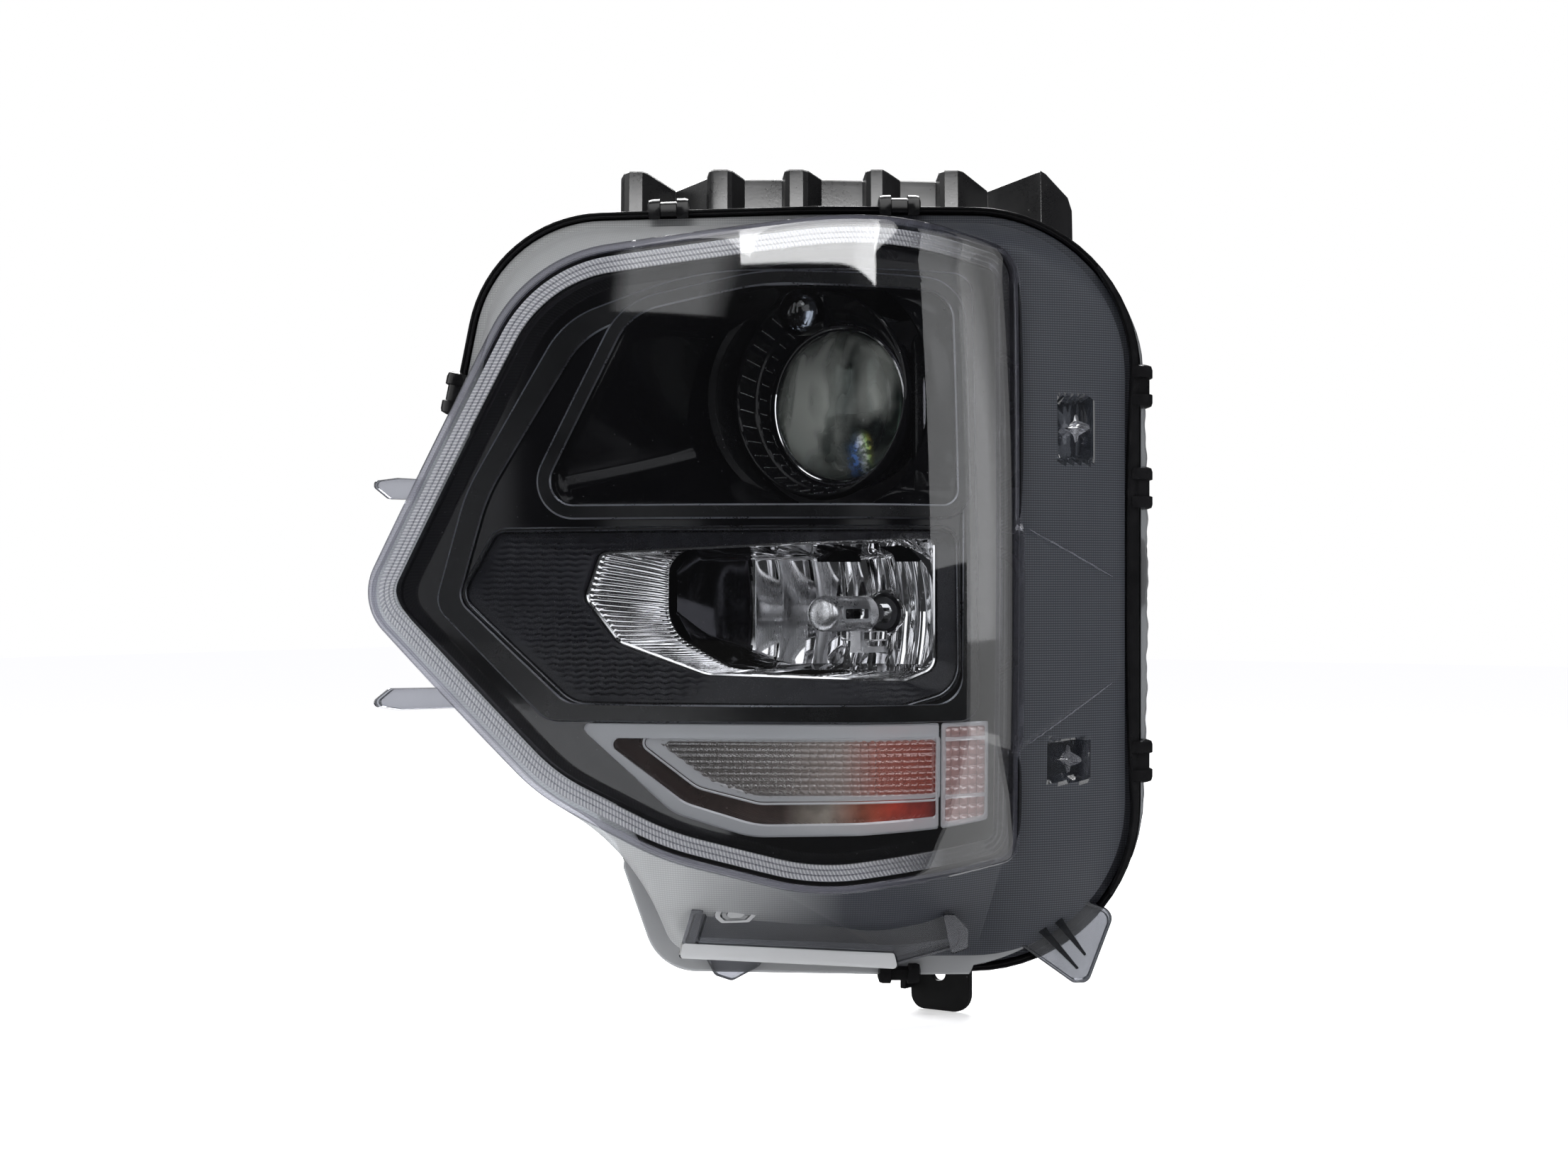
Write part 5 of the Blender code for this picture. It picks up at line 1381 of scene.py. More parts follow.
def row_sheet(name, left, right, top, bottom, columns, rows, behind, relief, finish, wall, **more):
    """A sheet of straight rows between two edges, with relief(u, z) standing out of the face."""
    z = np.linspace(top, bottom, rows)
    low, high = left(z), right(z)
    share = np.linspace(0, 1, columns)
    u = low[:, None] + (high - low)[:, None] * share[None, :]
    z = z[:, None] * np.ones((1, columns))
    front = face_points(u, z, lens_depth(u, z) - behind + relief(u, z))
    back = face_points(u, z, lens_depth(u, z) - behind - wall)
    return closed_sheet(name, front, back, finish, **more)


def edge_line(places):
    zs, us = zip(*sorted(places))
    return lambda z: np.interp(z, zs, us)


def pillows(pitch_u, pitch_z, height):
    def relief(u, z):
        a = 1 - (2 * ((u / pitch_u) % 1.0) - 1) ** 2
        b = 1 - (2 * ((z / pitch_z) % 1.0) - 1) ** 2
        return height * np.sqrt(np.clip(a * b, 0, 1))
    return relief


def flutes(pitch, height, slope):
    def relief(u, z):
        return height * np.abs(np.sin(math.pi * (u + z * slope) / pitch))
    return relief


def frame_strip(name, outer, inner, behind, height, finish, chamfer=0.7, **more):
    """A closed raised strip on the face between two matched outlines."""
    step = inner - outer
    wide = np.linalg.norm(step, axis=1)[:, None]
    step = step / wide * np.minimum(chamfer, wide * 0.35)
    profile = ((outer, 1.2), (outer, -height + chamfer), (outer + step, -height), (inner - step, -height),
               (inner, -height + chamfer), (inner, 1.2))
    return loft(name, [on_face(line, behind + extra) for line, extra in profile], finish, loop=True, sharp=30,
                **more)


def turn_signal():
    left = edge_line([(-67.5, -100.0), (-109.0, -53.5), (-115.0, -38.0), (-119.5, -16.0)])
    right = edge_line([(-67.5, 76.0), (-119.5, 76.0)])
    row_sheet("turn_signal_window", left, right, -67.5, -119.5, 340, 80, BEZEL_DEPTH + 3.0,
              flutes(2.4, 0.35, -0.9), TURN_WINDOW, 1.0, slot="vapour_chrome",
              stands_for=("turn_signal_reflector",), sharp=60)
    corners = [(-74, -73.0, 3), (75.5, -73.0, 2), (75.5, -103.5, 2), (-12, -104.5, 22), (-42, -97, 16)]
    band_outer = rounded(corners, 10, 20)
    corners = [(-62, -75.2, 2), (74.5, -75.2, 1), (74.5, -100.8, 1), (-12, -101.6, 20), (-37, -93, 14)]
    band_inner = rounded(corners, 10, 20)
    frame_strip("turn_signal_inner_frame", band_outer, band_inner, BEZEL_DEPTH + 0.6, 0.8, TURN_RAIL,
                slot="clear_polycarbonate")
    left = edge_line([(-74.5, -63.0), (-93.0, -38.5), (-99.0, -26.0), (-102.0, -13.0)])
    right = edge_line([(-74.5, 75.0), (-102.0, 75.0)])
    row_sheet("turn_signal_optic", left, right, -74.5, -102.0, 260, 60, BEZEL_DEPTH + 0.9,
              pillows(4.1, 2.9, 1.3), TURN_GRID, 1.6, slot="clear_polycarbonate",
              stands_for=("turn_signal_lens",), sharp=20)
    corners = [(-103.4, -66.4, 3), (76.4, -66.4, 1.5), (76.4, -118.8, 1.5), (38, -121.0, 50),
               (-16.5, -122.0, 50), (-54.5, -110.5, 25)]
    outer = rounded(corners, 10, 24)
    corners = [(-90.0, -74.0, 3), (74.6, -74.0, 1.5), (74.6, -112.6, 1.5), (38, -114.6, 50),
               (-13.0, -115.6, 45), (-48.5, -105.0, 22)]
    inner = rounded(corners, 10, 24)
    frame_strip("turn_signal_frame", outer, inner, BEZEL_DEPTH + 0.2, 1.6, TURN_RAIL, 1.0,
                slot="clear_polycarbonate")
    rail_low, rail_high = grown(band_outer, 0.4), grown(band_outer, 1.5)
    frame_strip("turn_signal_rail", rail_high, rail_low, BEZEL_DEPTH, 0.6, TURN_RAIL, 0.4,
                slot="clear_polycarbonate")
    marker_left = edge_line([(-67.5, 78.2), (-117.0, 78.2)])
    marker_right = edge_line([(-67.5, 100.8), (-114.5, 100.8), (-117.0, 90.0)])
    row_sheet("side_marker_optic", marker_left, marker_right, -68.0, -116.6, 90, 150, BEZEL_DEPTH + 0.9,
              pillows(4.6, 4.9, 1.3), MARKER_GRID, 1.6, slot="clear_polycarbonate",
              stands_for=("side_marker_lens",), sharp=20)
    outer = rounded([(77.4, -66.4, 1.5), (102.4, -66.4, 1.5), (102.4, -116.0, 2), (77.4, -118.8, 1.5)], 6, 16)
    inner = rounded([(80.0, -68.6, 1.5), (100.4, -68.6, 1.5), (100.4, -113.6, 2), (80.0, -115.6, 1.5)], 6, 16)
    frame_strip("side_marker_frame", outer, inner, BEZEL_DEPTH + 0.2, 1.4, TURN_RAIL, 0.8,
                slot="clear_polycarbonate")
    for number, z in enumerate((-74.5, -103.0), 1):
        corners = [(79.5, z + 1.0, 0.6), (100.8, z + 1.0, 0.6), (100.8, z - 1.2, 0.6), (79.5, z - 1.2, 0.6)]
        line = rounded(corners, 4, 8)
        steps = ((1, BEZEL_DEPTH + 1.5), (1, BEZEL_DEPTH - 1.2), (0.9, BEZEL_DEPTH - 1.7))
        raised(f"side_marker_bar_{number}", line, (90.0, z), steps, TURN_RAIL, slot="clear_polycarbonate")


turn_signal()


# ---------------------------------------------------------------- housing and fittings

def rear_depth(x, z):
    shallow = np.maximum(157.0, 0.7 * x + 160.0)
    return REAR_Y + (np.minimum(shallow, REAR_Y) - REAR_Y) * smoothstep(40, 110, -z)


def housing_rings(grow=0.0):
    """The housing's side walls: their front line under the rim, and their back line."""
    neck = at_depth(grown(rounded(RIM_CORNERS), grow - 11.0), RIM_FLOOR)
    out = grown(rounded(REAR_CORNERS), grow + 3.0)
    depth = np.maximum(neck[:, 1] + 2.0, rear_depth(out[:, 0], out[:, 1]) - 14.0)
    return neck, np.stack([out[:, 0], depth, out[:, 1]], 1)


def housing():
    rim, rear = rounded(RIM_CORNERS), rounded(REAR_CORNERS)
    neck, edge = housing_rings()
    steps = ((-0.9, RIM_FRONT - 0.2), (-0.2, RIM_FRONT), (0.0, RIM_FRONT - 0.8), (0.0, RIM_FRONT - 5.0),
             (-0.6, RIM_FRONT - 5.8), (-0.6, RIM_FRONT - 8.5), (0.0, RIM_FRONT - 9.3), (0.0, RIM_FLOOR + 1.2),
             (-1.2, RIM_FLOOR), (-9.6, RIM_FLOOR))
    rings = [at_depth(grown(rim, out), w) for out, w in steps]
    rings += [neck + (edge - neck) * t for t in np.linspace(0, 1, 14)]
    centre = (-45.0, 10.0)
    for share, lower in ((0.985, 5.0), (0.96, 1.2),
                         *((share, 0.0) for share in (0.93, 0.85, 0.7, 0.5, 0.3, 0.12))):
        line = scaled(rear, centre, share)
        rings.append(np.stack([line[:, 0], rear_depth(line[:, 0], line[:, 1]) - lower, line[:, 1]], 1))
    hub = np.array([centre[0], REAR_Y, centre[1]])
    shell = loft("housing_shell", rings, CASING, cap_end=True, ends=(None, hub), slot="black_polypropylene",
                 stands_for=("housing",), sharp=32)
    thicken(shell, 2.2, even_offset=False)
    necks()
    mounting_tabs()
    ribs()


def rear_end(at, radius):
    return float(rear_depth(at[0] + radius, at[2] + radius)) + 4.0


TURN_BULB = on_axis_of("turn_signal_socket", 92.0)
MARKER_BULB = on_axis_of("side_marker_socket", 142.0)


def necks():
    """Raised collars round the five rear openings, with a rolled lip and small gussets."""
    places = [("low_cover", LOW_BEAM, 37.0, REAR_Y + 8.0), ("high_cover", HIGH_BEAM, 33.0, REAR_Y + 8.0),
              ("turn", TURN_BULB, 14.0, rear_end(TURN_BULB, 18.0)),
              ("marker", MARKER_BULB, 10.0, rear_end(MARKER_BULB, 14.0)),
              ("adjuster", ADJUSTER, 5.0, REAR_Y + 12.0)]
    for name, at, radius, end in places:
        seat = np.array([at[0], 0, at[2]])
        start = float(rear_depth(at[0], at[2])) - 18.0
        profile = [(radius, end - 0.6), (radius + 0.5, end), (radius + 3.0, end), (radius + 3.5, end - 0.6),
                   (radius + 3.5, start), (radius, start)]
        turned(f"housing_collar_{name}", profile, seat, CASING, 72, False, slot="black_polypropylene")
        if radius < 12:
            continue
        for k in range(8):
            angle = math.pi * (k + 0.5) / 4
            out = np.array([math.cos(angle), 0, math.sin(angle)])
            side = np.array([-math.sin(angle), 0, math.cos(angle)]) * 0.8
            foot = seat + out * (radius + 2)
            low = float(rear_depth(foot[0], foot[2])) - 1.0
            corners = [foot + out * reach + (0, y, 0) for reach,
                       y in ((0, low), (9, low), (1.5, end - 3), (0, end - 2))]
            prism(f"collar_gusset_{name}_{k + 1}", [c + side for c in corners], [c - side for c in corners],
                  CASING, slot="black_polypropylene")


def mounting_tabs():
    """The lower tab with its bolt hole and folded edge, and the side tab."""
    x, y, z = -9.0, 160.0, -205.0
    line = rounded([(x - 19, -150, 1), (x + 19, -150, 1), (x + 19, -225, 10), (x - 17, -225, 8)], 10, 8)
    lower = plate("lower_mounting_tab", line, y - 4.0, y, facing_front, CASING, slot="black_polypropylene")
    hole = turned("hole_shape", [(0, 200), (4.2, 200), (4.2, 140), (0, 140)], (x, 0, z), CASING, 48, False,
                  body=None)
    combine(lower, [hole], "DIFFERENCE")
    bevel(lower, 0.7, 3, 50)
    lip = [(x - 19, -150), (x - 15.5, -150), (x - 15.5, -214), (x - 19, -214)]
    rib = plate("lower_tab_flange", np.array(lip, float), y - 12.0, y - 3.0, facing_front, CASING,
                slot="black_polypropylene")
    bevel(rib, 0.6, 2, 50)
    line = rounded([(56, 28, 1), (89, 28, 8), (89, -12, 8), (56, -12, 1)], 10, 8)
    side = plate("side_mounting_tab", line, 203.0, 207.0, facing_front, CASING, slot="black_polypropylene")
    hole = turned("hole_shape", [(0, 230), (3.0, 230), (3.0, 190), (0, 190)], (80, 0, 8), CASING, 40, False,
                  body=None)
    combine(side, [hole], "DIFFERENCE")
    bevel(side, 0.6, 3, 50)


def ribs():
    """Stiffening ribs that follow the housing's side walls and cross its back."""
    neck, edge = housing_rings(2.4)
    inner_neck, inner_edge = housing_rings(-1.0)
    number = 0
    for k in range(0, len(neck), 22):
        span = edge[k] - neck[k]
        if np.linalg.norm(span) < 30:
            continue
        number += 1
        along = np.roll(neck, -3, 0)[k] - np.roll(neck, 3, 0)[k]
        along = along / np.linalg.norm(along) * 0.9
        top = [neck[k] + span * t for t in (0.0, 0.33, 0.66, 0.97)]
        base = [inner_neck[k] + (inner_edge[k] - inner_neck[k]) * t for t in (0.97, 0.66, 0.33, 0.0)]
        prism(f"housing_side_rib_{number}", [p + along for p in top + base], [p - along for p in top + base],
              CASING, slot="black_polypropylene")
    lines = [((-158, 142), (60, 142)), ((-162, 36), (-66, 36)), ((28, 36), (62, 36)),
             ((-118, -58), (-60, -58)), ((30, -50), (60, -50)), ((-148, -4), (-148, 146)),
             ((-100, -60), (-100, 146)),
             ((56, -60), (56, 148)), ((-60, -62), (-60, 148)), ((36, 20), (36, 148))]
    openings = ((LOW_BEAM, 41.5), (HIGH_BEAM, 37.5))
    for number, (a, b) in enumerate(lines, 1):
        a, b = np.array(a, float), np.array(b, float)
        along = (b - a) / np.linalg.norm(b - a)
        side = np.array([-along[1], along[0]]) * 0.8
        steps = np.linspace(0, 1, 24)
        spine = a + (b - a) * steps[:, None]
        keep = [p for p in spine if all(math.hypot(p[0] - c[0], p[1] - c[2]) > r for c, r in openings)]
        if len(keep) < 2:
            continue
        spine = np.array(keep)
        gaps = np.linalg.norm(np.diff(spine, axis=0), axis=1)
        cut = np.argmax(gaps) + 1 if gaps.max() > 1.8 * gaps.min() else len(spine)
        for part, run in enumerate((spine[:cut], spine[cut:]), 1):
            if len(run) < 2:
                continue
            y = rear_depth(run[:, 0], run[:, 1])
            sections = []
            for dy, dx in ((-1.5, 1), (2.6, 1), (3.0, 0.6), (3.0, -0.6), (2.6, -1), (-1.5, -1)):
                sections.append(np.stack([run[:, 0] + side[0] * dx, y + dy, run[:, 1] + side[1] * dx], 1))
            bar(f"housing_back_rib_{number}_{part}", sections, CASING, slot="black_polypropylene")


BRACKET = [  # u, w, top z along the folded wall
    (-87, -134, 219), (-84.5, -124, 220.5), (-82, -122, 221), (-75, -122, 221), (-72.5, -124, 220.5),
    (-58, -138, 213), (-41, -126, 218), (-39.5, -123, 221.5), (-37, -122, 222), (-30, -122, 222),
    (-27.5, -123.5, 221.5), (-21, -134, 218.5), (-1, -134, 218.5), (0.5, -123.5, 221.8), (3, -122, 222),
    (10, -122, 222), (12.8, -123.5, 221.5), (20, -134, 218.5), (42, -134, 218), (43.5, -123.5, 221.5),
    (46, -122, 222), (52, -122, 222), (54.5, -123.5, 221), (62, -134, 218), (81, -134, 217.5),
    (82.5, -124, 221), (85, -122, 221.5), (92, -122, 221.5), (95, -124, 221), (109, -138, 213),
    (133.5, -125, 221), (136, -123.2, 221.5), (139, -125, 220), (152, -136, 209), (154.5, -140, 203),
]


def upper_bracket():
    """The folded support wall: rounded ribs with flat or creased panels between them."""
    u, w, top = np.array(BRACKET, float).T
    foot, thick, thin = 178.0, 2.8, 1.4
    front, rear = [], []
    for share, lean, wall in ((0.0, 1.2, thick), (0.25, 0.6, thick), (0.6, -0.8, thick), (0.9, -2.2, thick),
                              (0.975, -2.8, thick), (1.0, -4.3, thin)):
        z = foot + (top - foot) * share
        front.append(face_points(u, z, w + lean))
        rear.append(face_points(u, z, w + lean - wall))
    bracket = bar("folded_support_bracket", front + rear[::-1], BRACKET_BLACK, slot="black_polypropylene",
                  stands_for=("upper_support_bracket",), sharp=50)
    bevel(bracket, 1.1, 3, 24)


def nearest_on(line, wanted):
    following = np.roll(line, -1, 0)
    side = following - line
    share = np.clip(((wanted - line) * side).sum(1) / (side ** 2).sum(1), 0, 1)
    point = line + side * share[:, None]
    k = int(np.argmin(np.linalg.norm(point - wanted, axis=1)))
    return point[k], side[k] / np.linalg.norm(side[k])


CLIP_PLACES = [(186, 105), (186, 52), (186, -90), (-60, 197), (60, 199), (-165, 100), (60, -200)]


def lens_clips():
    """Snap clips round the rim: a bevelled strap with a hooked nose over the lens lip and a ribbed tail."""
    rim = rounded(RIM_CORNERS, 16, 60)
    for number, wanted in enumerate(CLIP_PLACES, 1):
        point, along = nearest_on(rim, np.array(wanted, float))
        out = np.array([-along[1], along[0]])
        section = [(0.6, -117.5), (5.0, -117.2), (6.6, -114.0), (6.4, -106.0), (5.4, -101.0), (2.4, -97.4),
                   (-3.0, -95.8), (-5.6, -96.8), (-5.2, -97.2), (-0.6, -98.4), (0.9, -101.6), (0.9, -114.0)]
        half = ((11.0, 0.5, 0.8), (10.2, 0.9, 1.0), (8.5, 1.0, 1.0), (4.5, 1.0, 1.0), (4.0, 0.72, 0.85))
        rings = []
        for h, shrink, lower in [(-h, *shares) for h, *shares in half] + [*reversed(half)]:
            ring = []
            for side, w in section:
                spot = point + out * (0.9 + (side - 0.9) * shrink) + along * h
                ring.append(face_points(spot[0], spot[1], -108.0 + (w + 108.0) * lower))
            rings.append(np.array(ring))
        clip = loft(f"snap_clip_{number}", rings, CLIP, True, True, slot="clip_plastic",
                    stands_for=(f"lens_clip_{number}",), sharp=40)
        bevel(clip, 0.35, 2, 40)


def covers():
    """Twist-off covers: a domed disc with a knurled rim, a raised ring and a waisted grip bar."""
    seat = REAR_Y + 8.0
    angles = full_turn(240)
    knurl = 1 - 0.014 * (np.cos(angles * 30) > 0.2)
    for name, body, at, radius in (("low_beam_cover", "low_cover", LOW_BEAM, 37.0),
                                   ("high_beam_cover", "high_cover", HIGH_BEAM, 33.0)):
        profile = [(0.3, 6.2), (radius * 0.3, 6.4), (radius * 0.62, 6.0), (radius * 0.66, 7.2),
                   (radius * 0.72, 7.2), (radius * 0.76, 5.4), (radius + 3.0, 5.0), (radius + 4.6, 4.4),
                   ((radius + 5.5) * knurl, 3.2), ((radius + 5.5) * knurl, -5.4), (radius + 5.0, -6.0),
                   (radius + 4.0, -6.0), (radius + 4.0, 0.3), (0.3, 0.3)]
        rings = [circle(at, r, seat + y, angles) for r, y in profile]
        loft(f"{name}_disc", rings, COVER, True, True, body=body, slot="cover_plastic", stands_for=(name,),
             sharp=40)
        sections = []
        span = np.linspace(-1, 1, 41)
        waist = 2.6 + 1.6 * np.abs(span) ** 1.5
        crest = 16.0 - 1.2 * span ** 2 - 5.0 * smoothstep(0.88, 1.0, np.abs(span))
        half = ((1.15, 0.0), (1.0, 0.7), (0.8, 0.96), (0.45, 1.0))
        for width, level in [*half, *((-width, level) for width, level in reversed(half))]:
            y = seat + 4.5 + (crest - 4.5) * level
            sections.append(np.stack([at[0] + span * radius * 0.8, y, at[2] + waist * width], 1))
        bar(f"{name}_grip", sections, COVER, body=body, slot="cover_plastic", sharp=40)


def sockets():
    """Twist-in sockets with a flange, three lugs on the flange, a grip and a plug end."""
    for name, body, at, radius in (("turn_signal", "turn_socket", TURN_BULB, 14.0),
                                   ("side_marker", "marker_socket", MARKER_BULB, 10.0)):
        seat = rear_end(at, radius + 4.0)
        base = at[1] + 8.4
        profile = [(0, seat + 15.6), (radius * 0.45, seat + 16), (radius * 0.5, seat + 15.4),
                   (radius * 0.5, seat + 10), (radius - 3.2, seat + 9.6), (radius - 3, seat + 9),
                   (radius - 3, seat + 5), (radius + 2.0, seat + 5), (radius + 2.5, seat + 4.4),
                   (radius + 2.5, seat + 0.9), (radius + 2.0, seat + 0.3), (radius - 4, seat + 0.3),
                   (radius - 4, base + 1), (radius - 5, base), (0, base)]
        turned(f"{name}_holder", profile, (at[0], 0, at[2]), SOCKET, 72, False, body=body,
               slot="grey_socket_plastic", stands_for=(f"{name}_socket",), sharp=40)
        block(f"{name}_holder_grip", (at[0] - radius * 0.85, seat + 4, at[2] - 2.2),
              (at[0] + radius * 0.85, seat + 13, at[2] + 2.2), 0.8, 3, SOCKET, body=body,
              slot="grey_socket_plastic")
        for k in range(3):
            angle = 2 * math.pi * k / 3 + 0.4
            lug = box(f"{name}_holder_lug_{k + 1}", (-2.6, seat + 0.6, radius + 1.2),
                      (2.6, seat + 4.2, radius + 2.5), SOCKET, body=None)
            sin, cos = math.sin(angle), math.cos(angle)
            turn = np.array([[cos, 0, sin], [0, 1, 0], [-sin, 0, cos]])
            local = np.array([v.co for v in lug.data.vertices]) / MM + SEAT
            moved = (local @ turn.T + np.array([at[0], 0, at[2]]) - SEAT) * MM
            lug.data.vertices.foreach_set("co", moved.astype(np.float32).ravel())
            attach(lug, body)
            bevel(lug, 0.4, 2)


def sleeve_line(spots, step):
    """Points a step apart along a smooth curve that the spots pull."""
    curve = bpy.data.curves.new("path", "CURVE")
    curve.dimensions = "3D"
    spline = curve.splines.new("NURBS")
    spline.points.add(len(spots) - 1)
    spline.use_endpoint_u = True
    spline.order_u = 4
    spline.resolution_u = 24
    for point, co in zip(spline.points, spots):
        point.co = (*co, 1.0)
    holder = bpy.data.objects.new("path", curve)
    bpy.context.scene.collection.objects.link(holder)
    line = np.array([v.co for v in holder.to_mesh().vertices])
    holder.to_mesh_clear()
    bpy.data.objects.remove(holder)
    run = np.concatenate([[0], np.cumsum(np.linalg.norm(np.diff(line, axis=0), axis=1))])
    want = np.arange(0, run[-1], step)
    return np.stack([np.interp(want, run, line[:, k]) for k in range(3)], 1)


def harness():
    """The corrugated sleeve from the connector to the grommet."""
    y = REAR_Y + 0.3
    spots = [(-65, y + 24.5, 47), (-65, y + 34, 46), (-66, y + 38, 36), (-80, y + 36, 14),
             (-102, y + 34, -12), (-110, y + 29, -22), (-112, y + 22, -26), (-112, y + 14.4, -26)]
    line = sleeve_line(spots, 0.65)
    tangent = np.gradient(line, axis=0)
    tangent /= np.linalg.norm(tangent, axis=1)[:, None]
    side = np.cross(tangent, (1.0, 0.2, 0.1))
    side /= np.linalg.norm(side, axis=1)[:, None]
    up = np.cross(tangent, side)
    angles = full_turn(28)
    rings = []
    for k, spot in enumerate(line):
        radius = 3.55 + 0.42 * (1 if k % 4 < 2 else -1)
        rings.append(spot + radius * (side[k] * np.cos(angles)[:, None] + up[k] * np.sin(angles)[:, None]))
    loft("harness_sleeve", rings, SLEEVE, True, True, slot="grey_socket_plastic",
         stands_for=("wiring_harness",), sharp=60)
    connector(y)


def connector(y):
    """The connector with its ribs, latch and cuff, the sleeve's grommet and the two vents."""
    block("connector_body", (-78, y, 38), (-52, y + 24, 56), 1.4, 3, SOCKET, slot="grey_socket_plastic",
          stands_for=("harness_connector",))
    for number, z in enumerate((41.5, 52.5), 1):
        block(f"connector_rib_{number}", (-79.2, y + 3, z - 0.9), (-50.8, y + 21, z + 0.9), 0.5, 2, SOCKET,
              slot="grey_socket_plastic")
    block("connector_latch", (-70, y + 5, 55.5), (-60, y + 22, 58.6), 0.9, 3, SOCKET,
          slot="grey_socket_plastic")
    cuff = [(0, 24.6), (4.4, 24.6), (5.2, 22.0), (5.4, 14), (0, 14)]
    turned("connector_cuff", [(r, y + h + 3) for r, h in cuff], (-65, 0, 47), RUBBER, 48, False,
           slot="black_butyl_and_rubber")
    grommet = [(0, 14), (5.6, 14), (6.2, 13.4), (6.4, 10), (8.2, 9.2), (8.2, 7.6), (9.6, 6.6), (10, 5.6),
               (10, 0.6), (9.6, 0), (0, 0)]
    turned("grommet_body", [(r, y + h) for r, h in grommet], (-112, 0, -26), RUBBER, 60, False,
           slot="black_butyl_and_rubber", stands_for=("harness_grommet",))
    vent = [(0, 12), (6.8, 12), (7.4, 11.4), (7.6, 8.6), (6.6, 8.0), (6.6, 7.0), (8, 6.2), (8, 0.3), (0, 0.3)]
    for number, at in enumerate(((-130, 120), (-130, -20)), 1):
        level = float(rear_depth(*at))
        turned(f"vent_plug_{number}", [(r, level + h) for r, h in vent], (at[0], 0, at[1]), SOCKET, 60, False,
               slot="grey_socket_plastic", stands_for=(f"vent_cap_{number}",))


housing()
upper_bracket()
lens_clips()
covers()
sockets()
harness()

for node, finish in (
    ("carrier_frame", NYLON), ("pivot_bracket_inboard", NYLON), ("pivot_bracket_outboard", NYLON),
    ("adjuster_screw", ZINC),
    ("lens_seal", RUBBER), ("position_lamp_holder", GLOSS_BLACK), ("projector_bowl", CAST_METAL),
    ("cutoff_shield", DARK_METAL),
    ("side_marker_reflector", SMOKED_CHROME), ("low_beam_bulb", BULB_GLASS),
    ("low_beam_bulb_base", BULB_BASE),
    ("high_beam_bulb", BULB_GLASS), ("high_beam_bulb_base", BULB_BASE), ("turn_signal_bulb", AMBER),
    ("side_marker_bulb", AMBER),
):
    obj = frame["nodes"][node]
    for slot in obj.material_slots:
        slot.material = finish


# ---------------------------------------------------------------- stage

def stage_point(u, z, w):
    """A point of the face frame, given and returned in metres."""
    return Vector(face_points(u / MM, z / MM, w / MM)) * MM - Vector(SEAT) * MM


def view_points(bearing, height, distance):
    """A stage point seen from the face's middle: degrees to the right, degrees up, metres away."""
    a, e = math.radians(bearing), math.radians(height)
    level = distance * math.cos(e)
    return stage_point(level * math.sin(a), distance * math.sin(e), level * math.cos(a))


def soft_box(name, bearing, height, distance, size, power, colour=(1, 1, 1), diffuse=True, glossy=True,
             roll=0.0):
    data = bpy.data.lights.new(name, "AREA")
    data.shape = "RECTANGLE"
    data.size, data.size_y = size
    data.energy = power
    data.color = colour
    light = bpy.data.objects.new(name, data)
    bpy.context.scene.collection.objects.link(light)
    light.location = view_points(bearing, height, distance)
    target = view_points(0, 0, 0)
    light.rotation_mode = "QUATERNION"
    aim = (target - light.location).to_track_quat("-Z", "Y")
    light.rotation_quaternion = aim @ Quaternion((0, 0, 1), math.radians(roll))
    light.visible_diffuse = diffuse
    light.visible_glossy = glossy
    light.visible_camera = False
    return light


def floor_card(name, place, size, turn, power):
    """A glossy-only soft box on the floor, facing up; place and size are across and out, in metres."""
    light = soft_box(name, 0, 0, 1.0, size, power, diffuse=False)
    spot = stage_point(place[0], 0.0, place[1])
    light.location = (spot.x, spot.y, CAD_BOX[0].z + 0.001)
    light.rotation_mode = "XYZ"
    light.rotation_euler = (math.pi, 0, FACE_YAW + math.radians(turn))
    return light


def link_light(light, objects, state):
    """Lets a light reach only these pieces, or all but these."""
    group = bpy.data.collections.new(light.name + "_receivers")
    for obj in objects:
        group.objects.link(obj)
    for one in group.collection_objects:
        one.light_linking.link_state = state
    light.light_linking.receiver_collection = group


FLOOR_REACH, FLOOR_GAP = 6.0, 0.0005
CAMERA_DISTANCE = 1.2
SENSOR_WIDTH = 36.0
SEEN_WIDTH = 0.75208  # metres across the picture, at the face


def floor_plane():
    z = CAD_BOX[0].z - FLOOR_GAP
    corners = [(a * FLOOR_REACH, b * FLOOR_REACH, z) for a, b in ((-1, -1), (1, -1), (1, 1), (-1, 1))]
    data = bpy.data.meshes.new("floor")
    data.from_pydata(corners, [], [(0, 1, 2, 3)])
    floor = bpy.data.objects.new("floor", data)
    bpy.context.scene.collection.objects.link(floor)
    f = Finish("pale_floor")
    path = f.add("LightPath")
    plain = f.add("BsdfDiffuse", {"Color": (0.86, 0.86, 0.87, 1)}).outputs[0]
    glow = f.add("Emission", {"Color": (1, 1, 1, 1), "Strength": 0.55}).outputs[0]
    lit = f.add("AddShader", {0: plain, 1: glow}).outputs[0]
    dim = f.add("Emission", {"Color": (1, 1, 1, 1), "Strength": 0.04}).outputs[0]
    data.materials.append(f.done(f.mix(path.outputs["Is Glossy Ray"], lit, dim)))


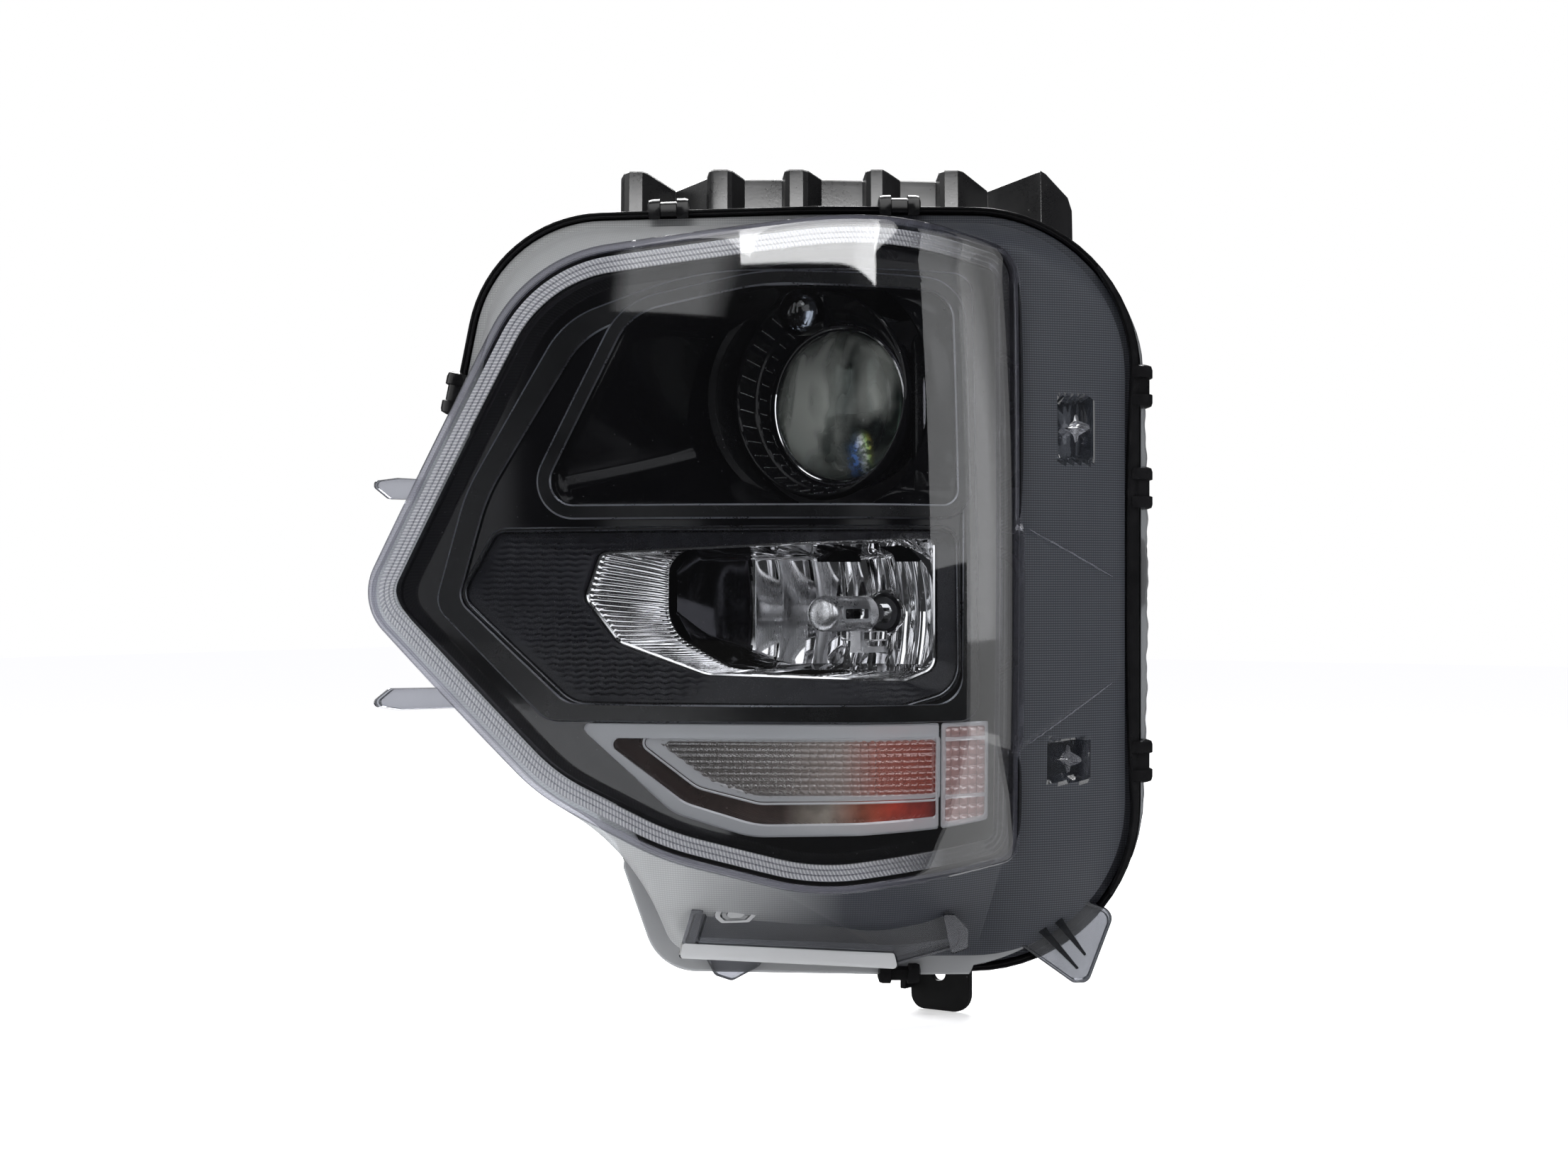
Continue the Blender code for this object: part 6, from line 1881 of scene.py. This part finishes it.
def studio():
    """A white room. Mirrors inside the lamp see light and dark bands; the clear lens sees only the cards."""
    world = bpy.data.worlds.new("studio")
    bpy.context.scene.world = world
    world.use_nodes = True
    n = Nodes(world.node_tree)
    path = n.add("LightPath").outputs
    plain = n.mix_colour(path["Is Camera Ray"], (0.5, 0.5, 0.52), (1, 1, 1))
    wave = {"Vector": n.add("TexCoord").outputs["Generated"], "Scale": 0.55, "Distortion": 5.0, "Detail": 2.0,
            "Detail Scale": 1.2}
    bands = n.add("TexWave", wave, bands_direction="X").outputs["Fac"]
    room = n.spread(bands, 0.4, 0.75, 0.03, 1.9)
    inside = n.math("GREATER_THAN", path["Transparent Depth"], 2.5)
    mirrored = n.mix_colour(inside, (0.02, 0.02, 0.022), room)
    seen = n.mix_colour(path["Is Glossy Ray"], plain, mirrored)
    background = n.add("Background", {"Color": seen})
    n.link(background.outputs[0], n.add("OutputWorld").inputs["Surface"])


def lights():
    lens = [bpy.data.objects["outer_lens_shell"]]
    for light in (
        soft_box("top_card", 8, 44.5, 1.5, (1.0, 0.5), 8.5, diffuse=False, roll=-6),
        soft_box("top_left_card", -22, 46, 1.5, (0.5, 0.4), 1.7, diffuse=False, roll=-18),
        soft_box("top_fade_card", 36, 44.5, 1.5, (0.35, 0.5), 1.2, diffuse=False),
        soft_box("right_card", 93, 4, 1.3, (0.4, 1.8), 1.4, diffuse=False),
        floor_card("lower_right_card", (0.8, -0.03), (1.3, 0.3), 0, 1.0),
    ):
        link_light(light, lens, "INCLUDE")
    kept_dark = lens + [bpy.data.objects["upper_chamber_walls"]]
    for light in (
        soft_box("left_card", -100, 10, 1.4, (1.2, 1.8), 8.0, diffuse=False),
        soft_box("overhead_card", 40, 80, 1.5, (1.2, 0.9), 12, diffuse=False),
        soft_box("rear_card", 190, 40, 1.8, (1.5, 1.0), 60),
    ):
        link_light(light, kept_dark, "EXCLUDE")
    glossy_trim = [bpy.data.objects[name] for name in ("bezel_sheet", "bezel_band_outer", "bezel_band_upper")]
    link_light(floor_card("lower_left_card", (-0.652, 0.522), (0.9, 1.05), -16.3, 20.0), glossy_trim,
               "INCLUDE")
    bracket_card = soft_box("bracket_card", 4, 21, 1.3, (1.5, 0.42), 40, diffuse=False)
    link_light(bracket_card, [bpy.data.objects["folded_support_bracket"]], "INCLUDE")
    soft_box("front_fill", -20, 45, 1.6, (0.9, 0.9), 18, glossy=False)
    soft_box("right_fill", 75, 20, 1.5, (0.6, 0.9), 7, glossy=False)


def camera_in_front():
    camera = bpy.data.objects.new("camera", bpy.data.cameras.new("camera"))
    bpy.context.scene.collection.objects.link(camera)
    camera.location = view_points(0, 0, CAMERA_DISTANCE)
    camera.rotation_mode = "QUATERNION"
    camera.rotation_quaternion = (-Vector(FACE_NORMAL)).to_track_quat("-Z", "Y")
    camera.data.sensor_width = SENSOR_WIDTH
    camera.data.lens = SENSOR_WIDTH * CAMERA_DISTANCE / SEEN_WIDTH
    camera.data.clip_end = 50
    bpy.context.scene.camera = camera
    bpy.context.scene.view_settings.view_transform = "Standard"


floor_plane()
studio()
lights()
camera_in_front()
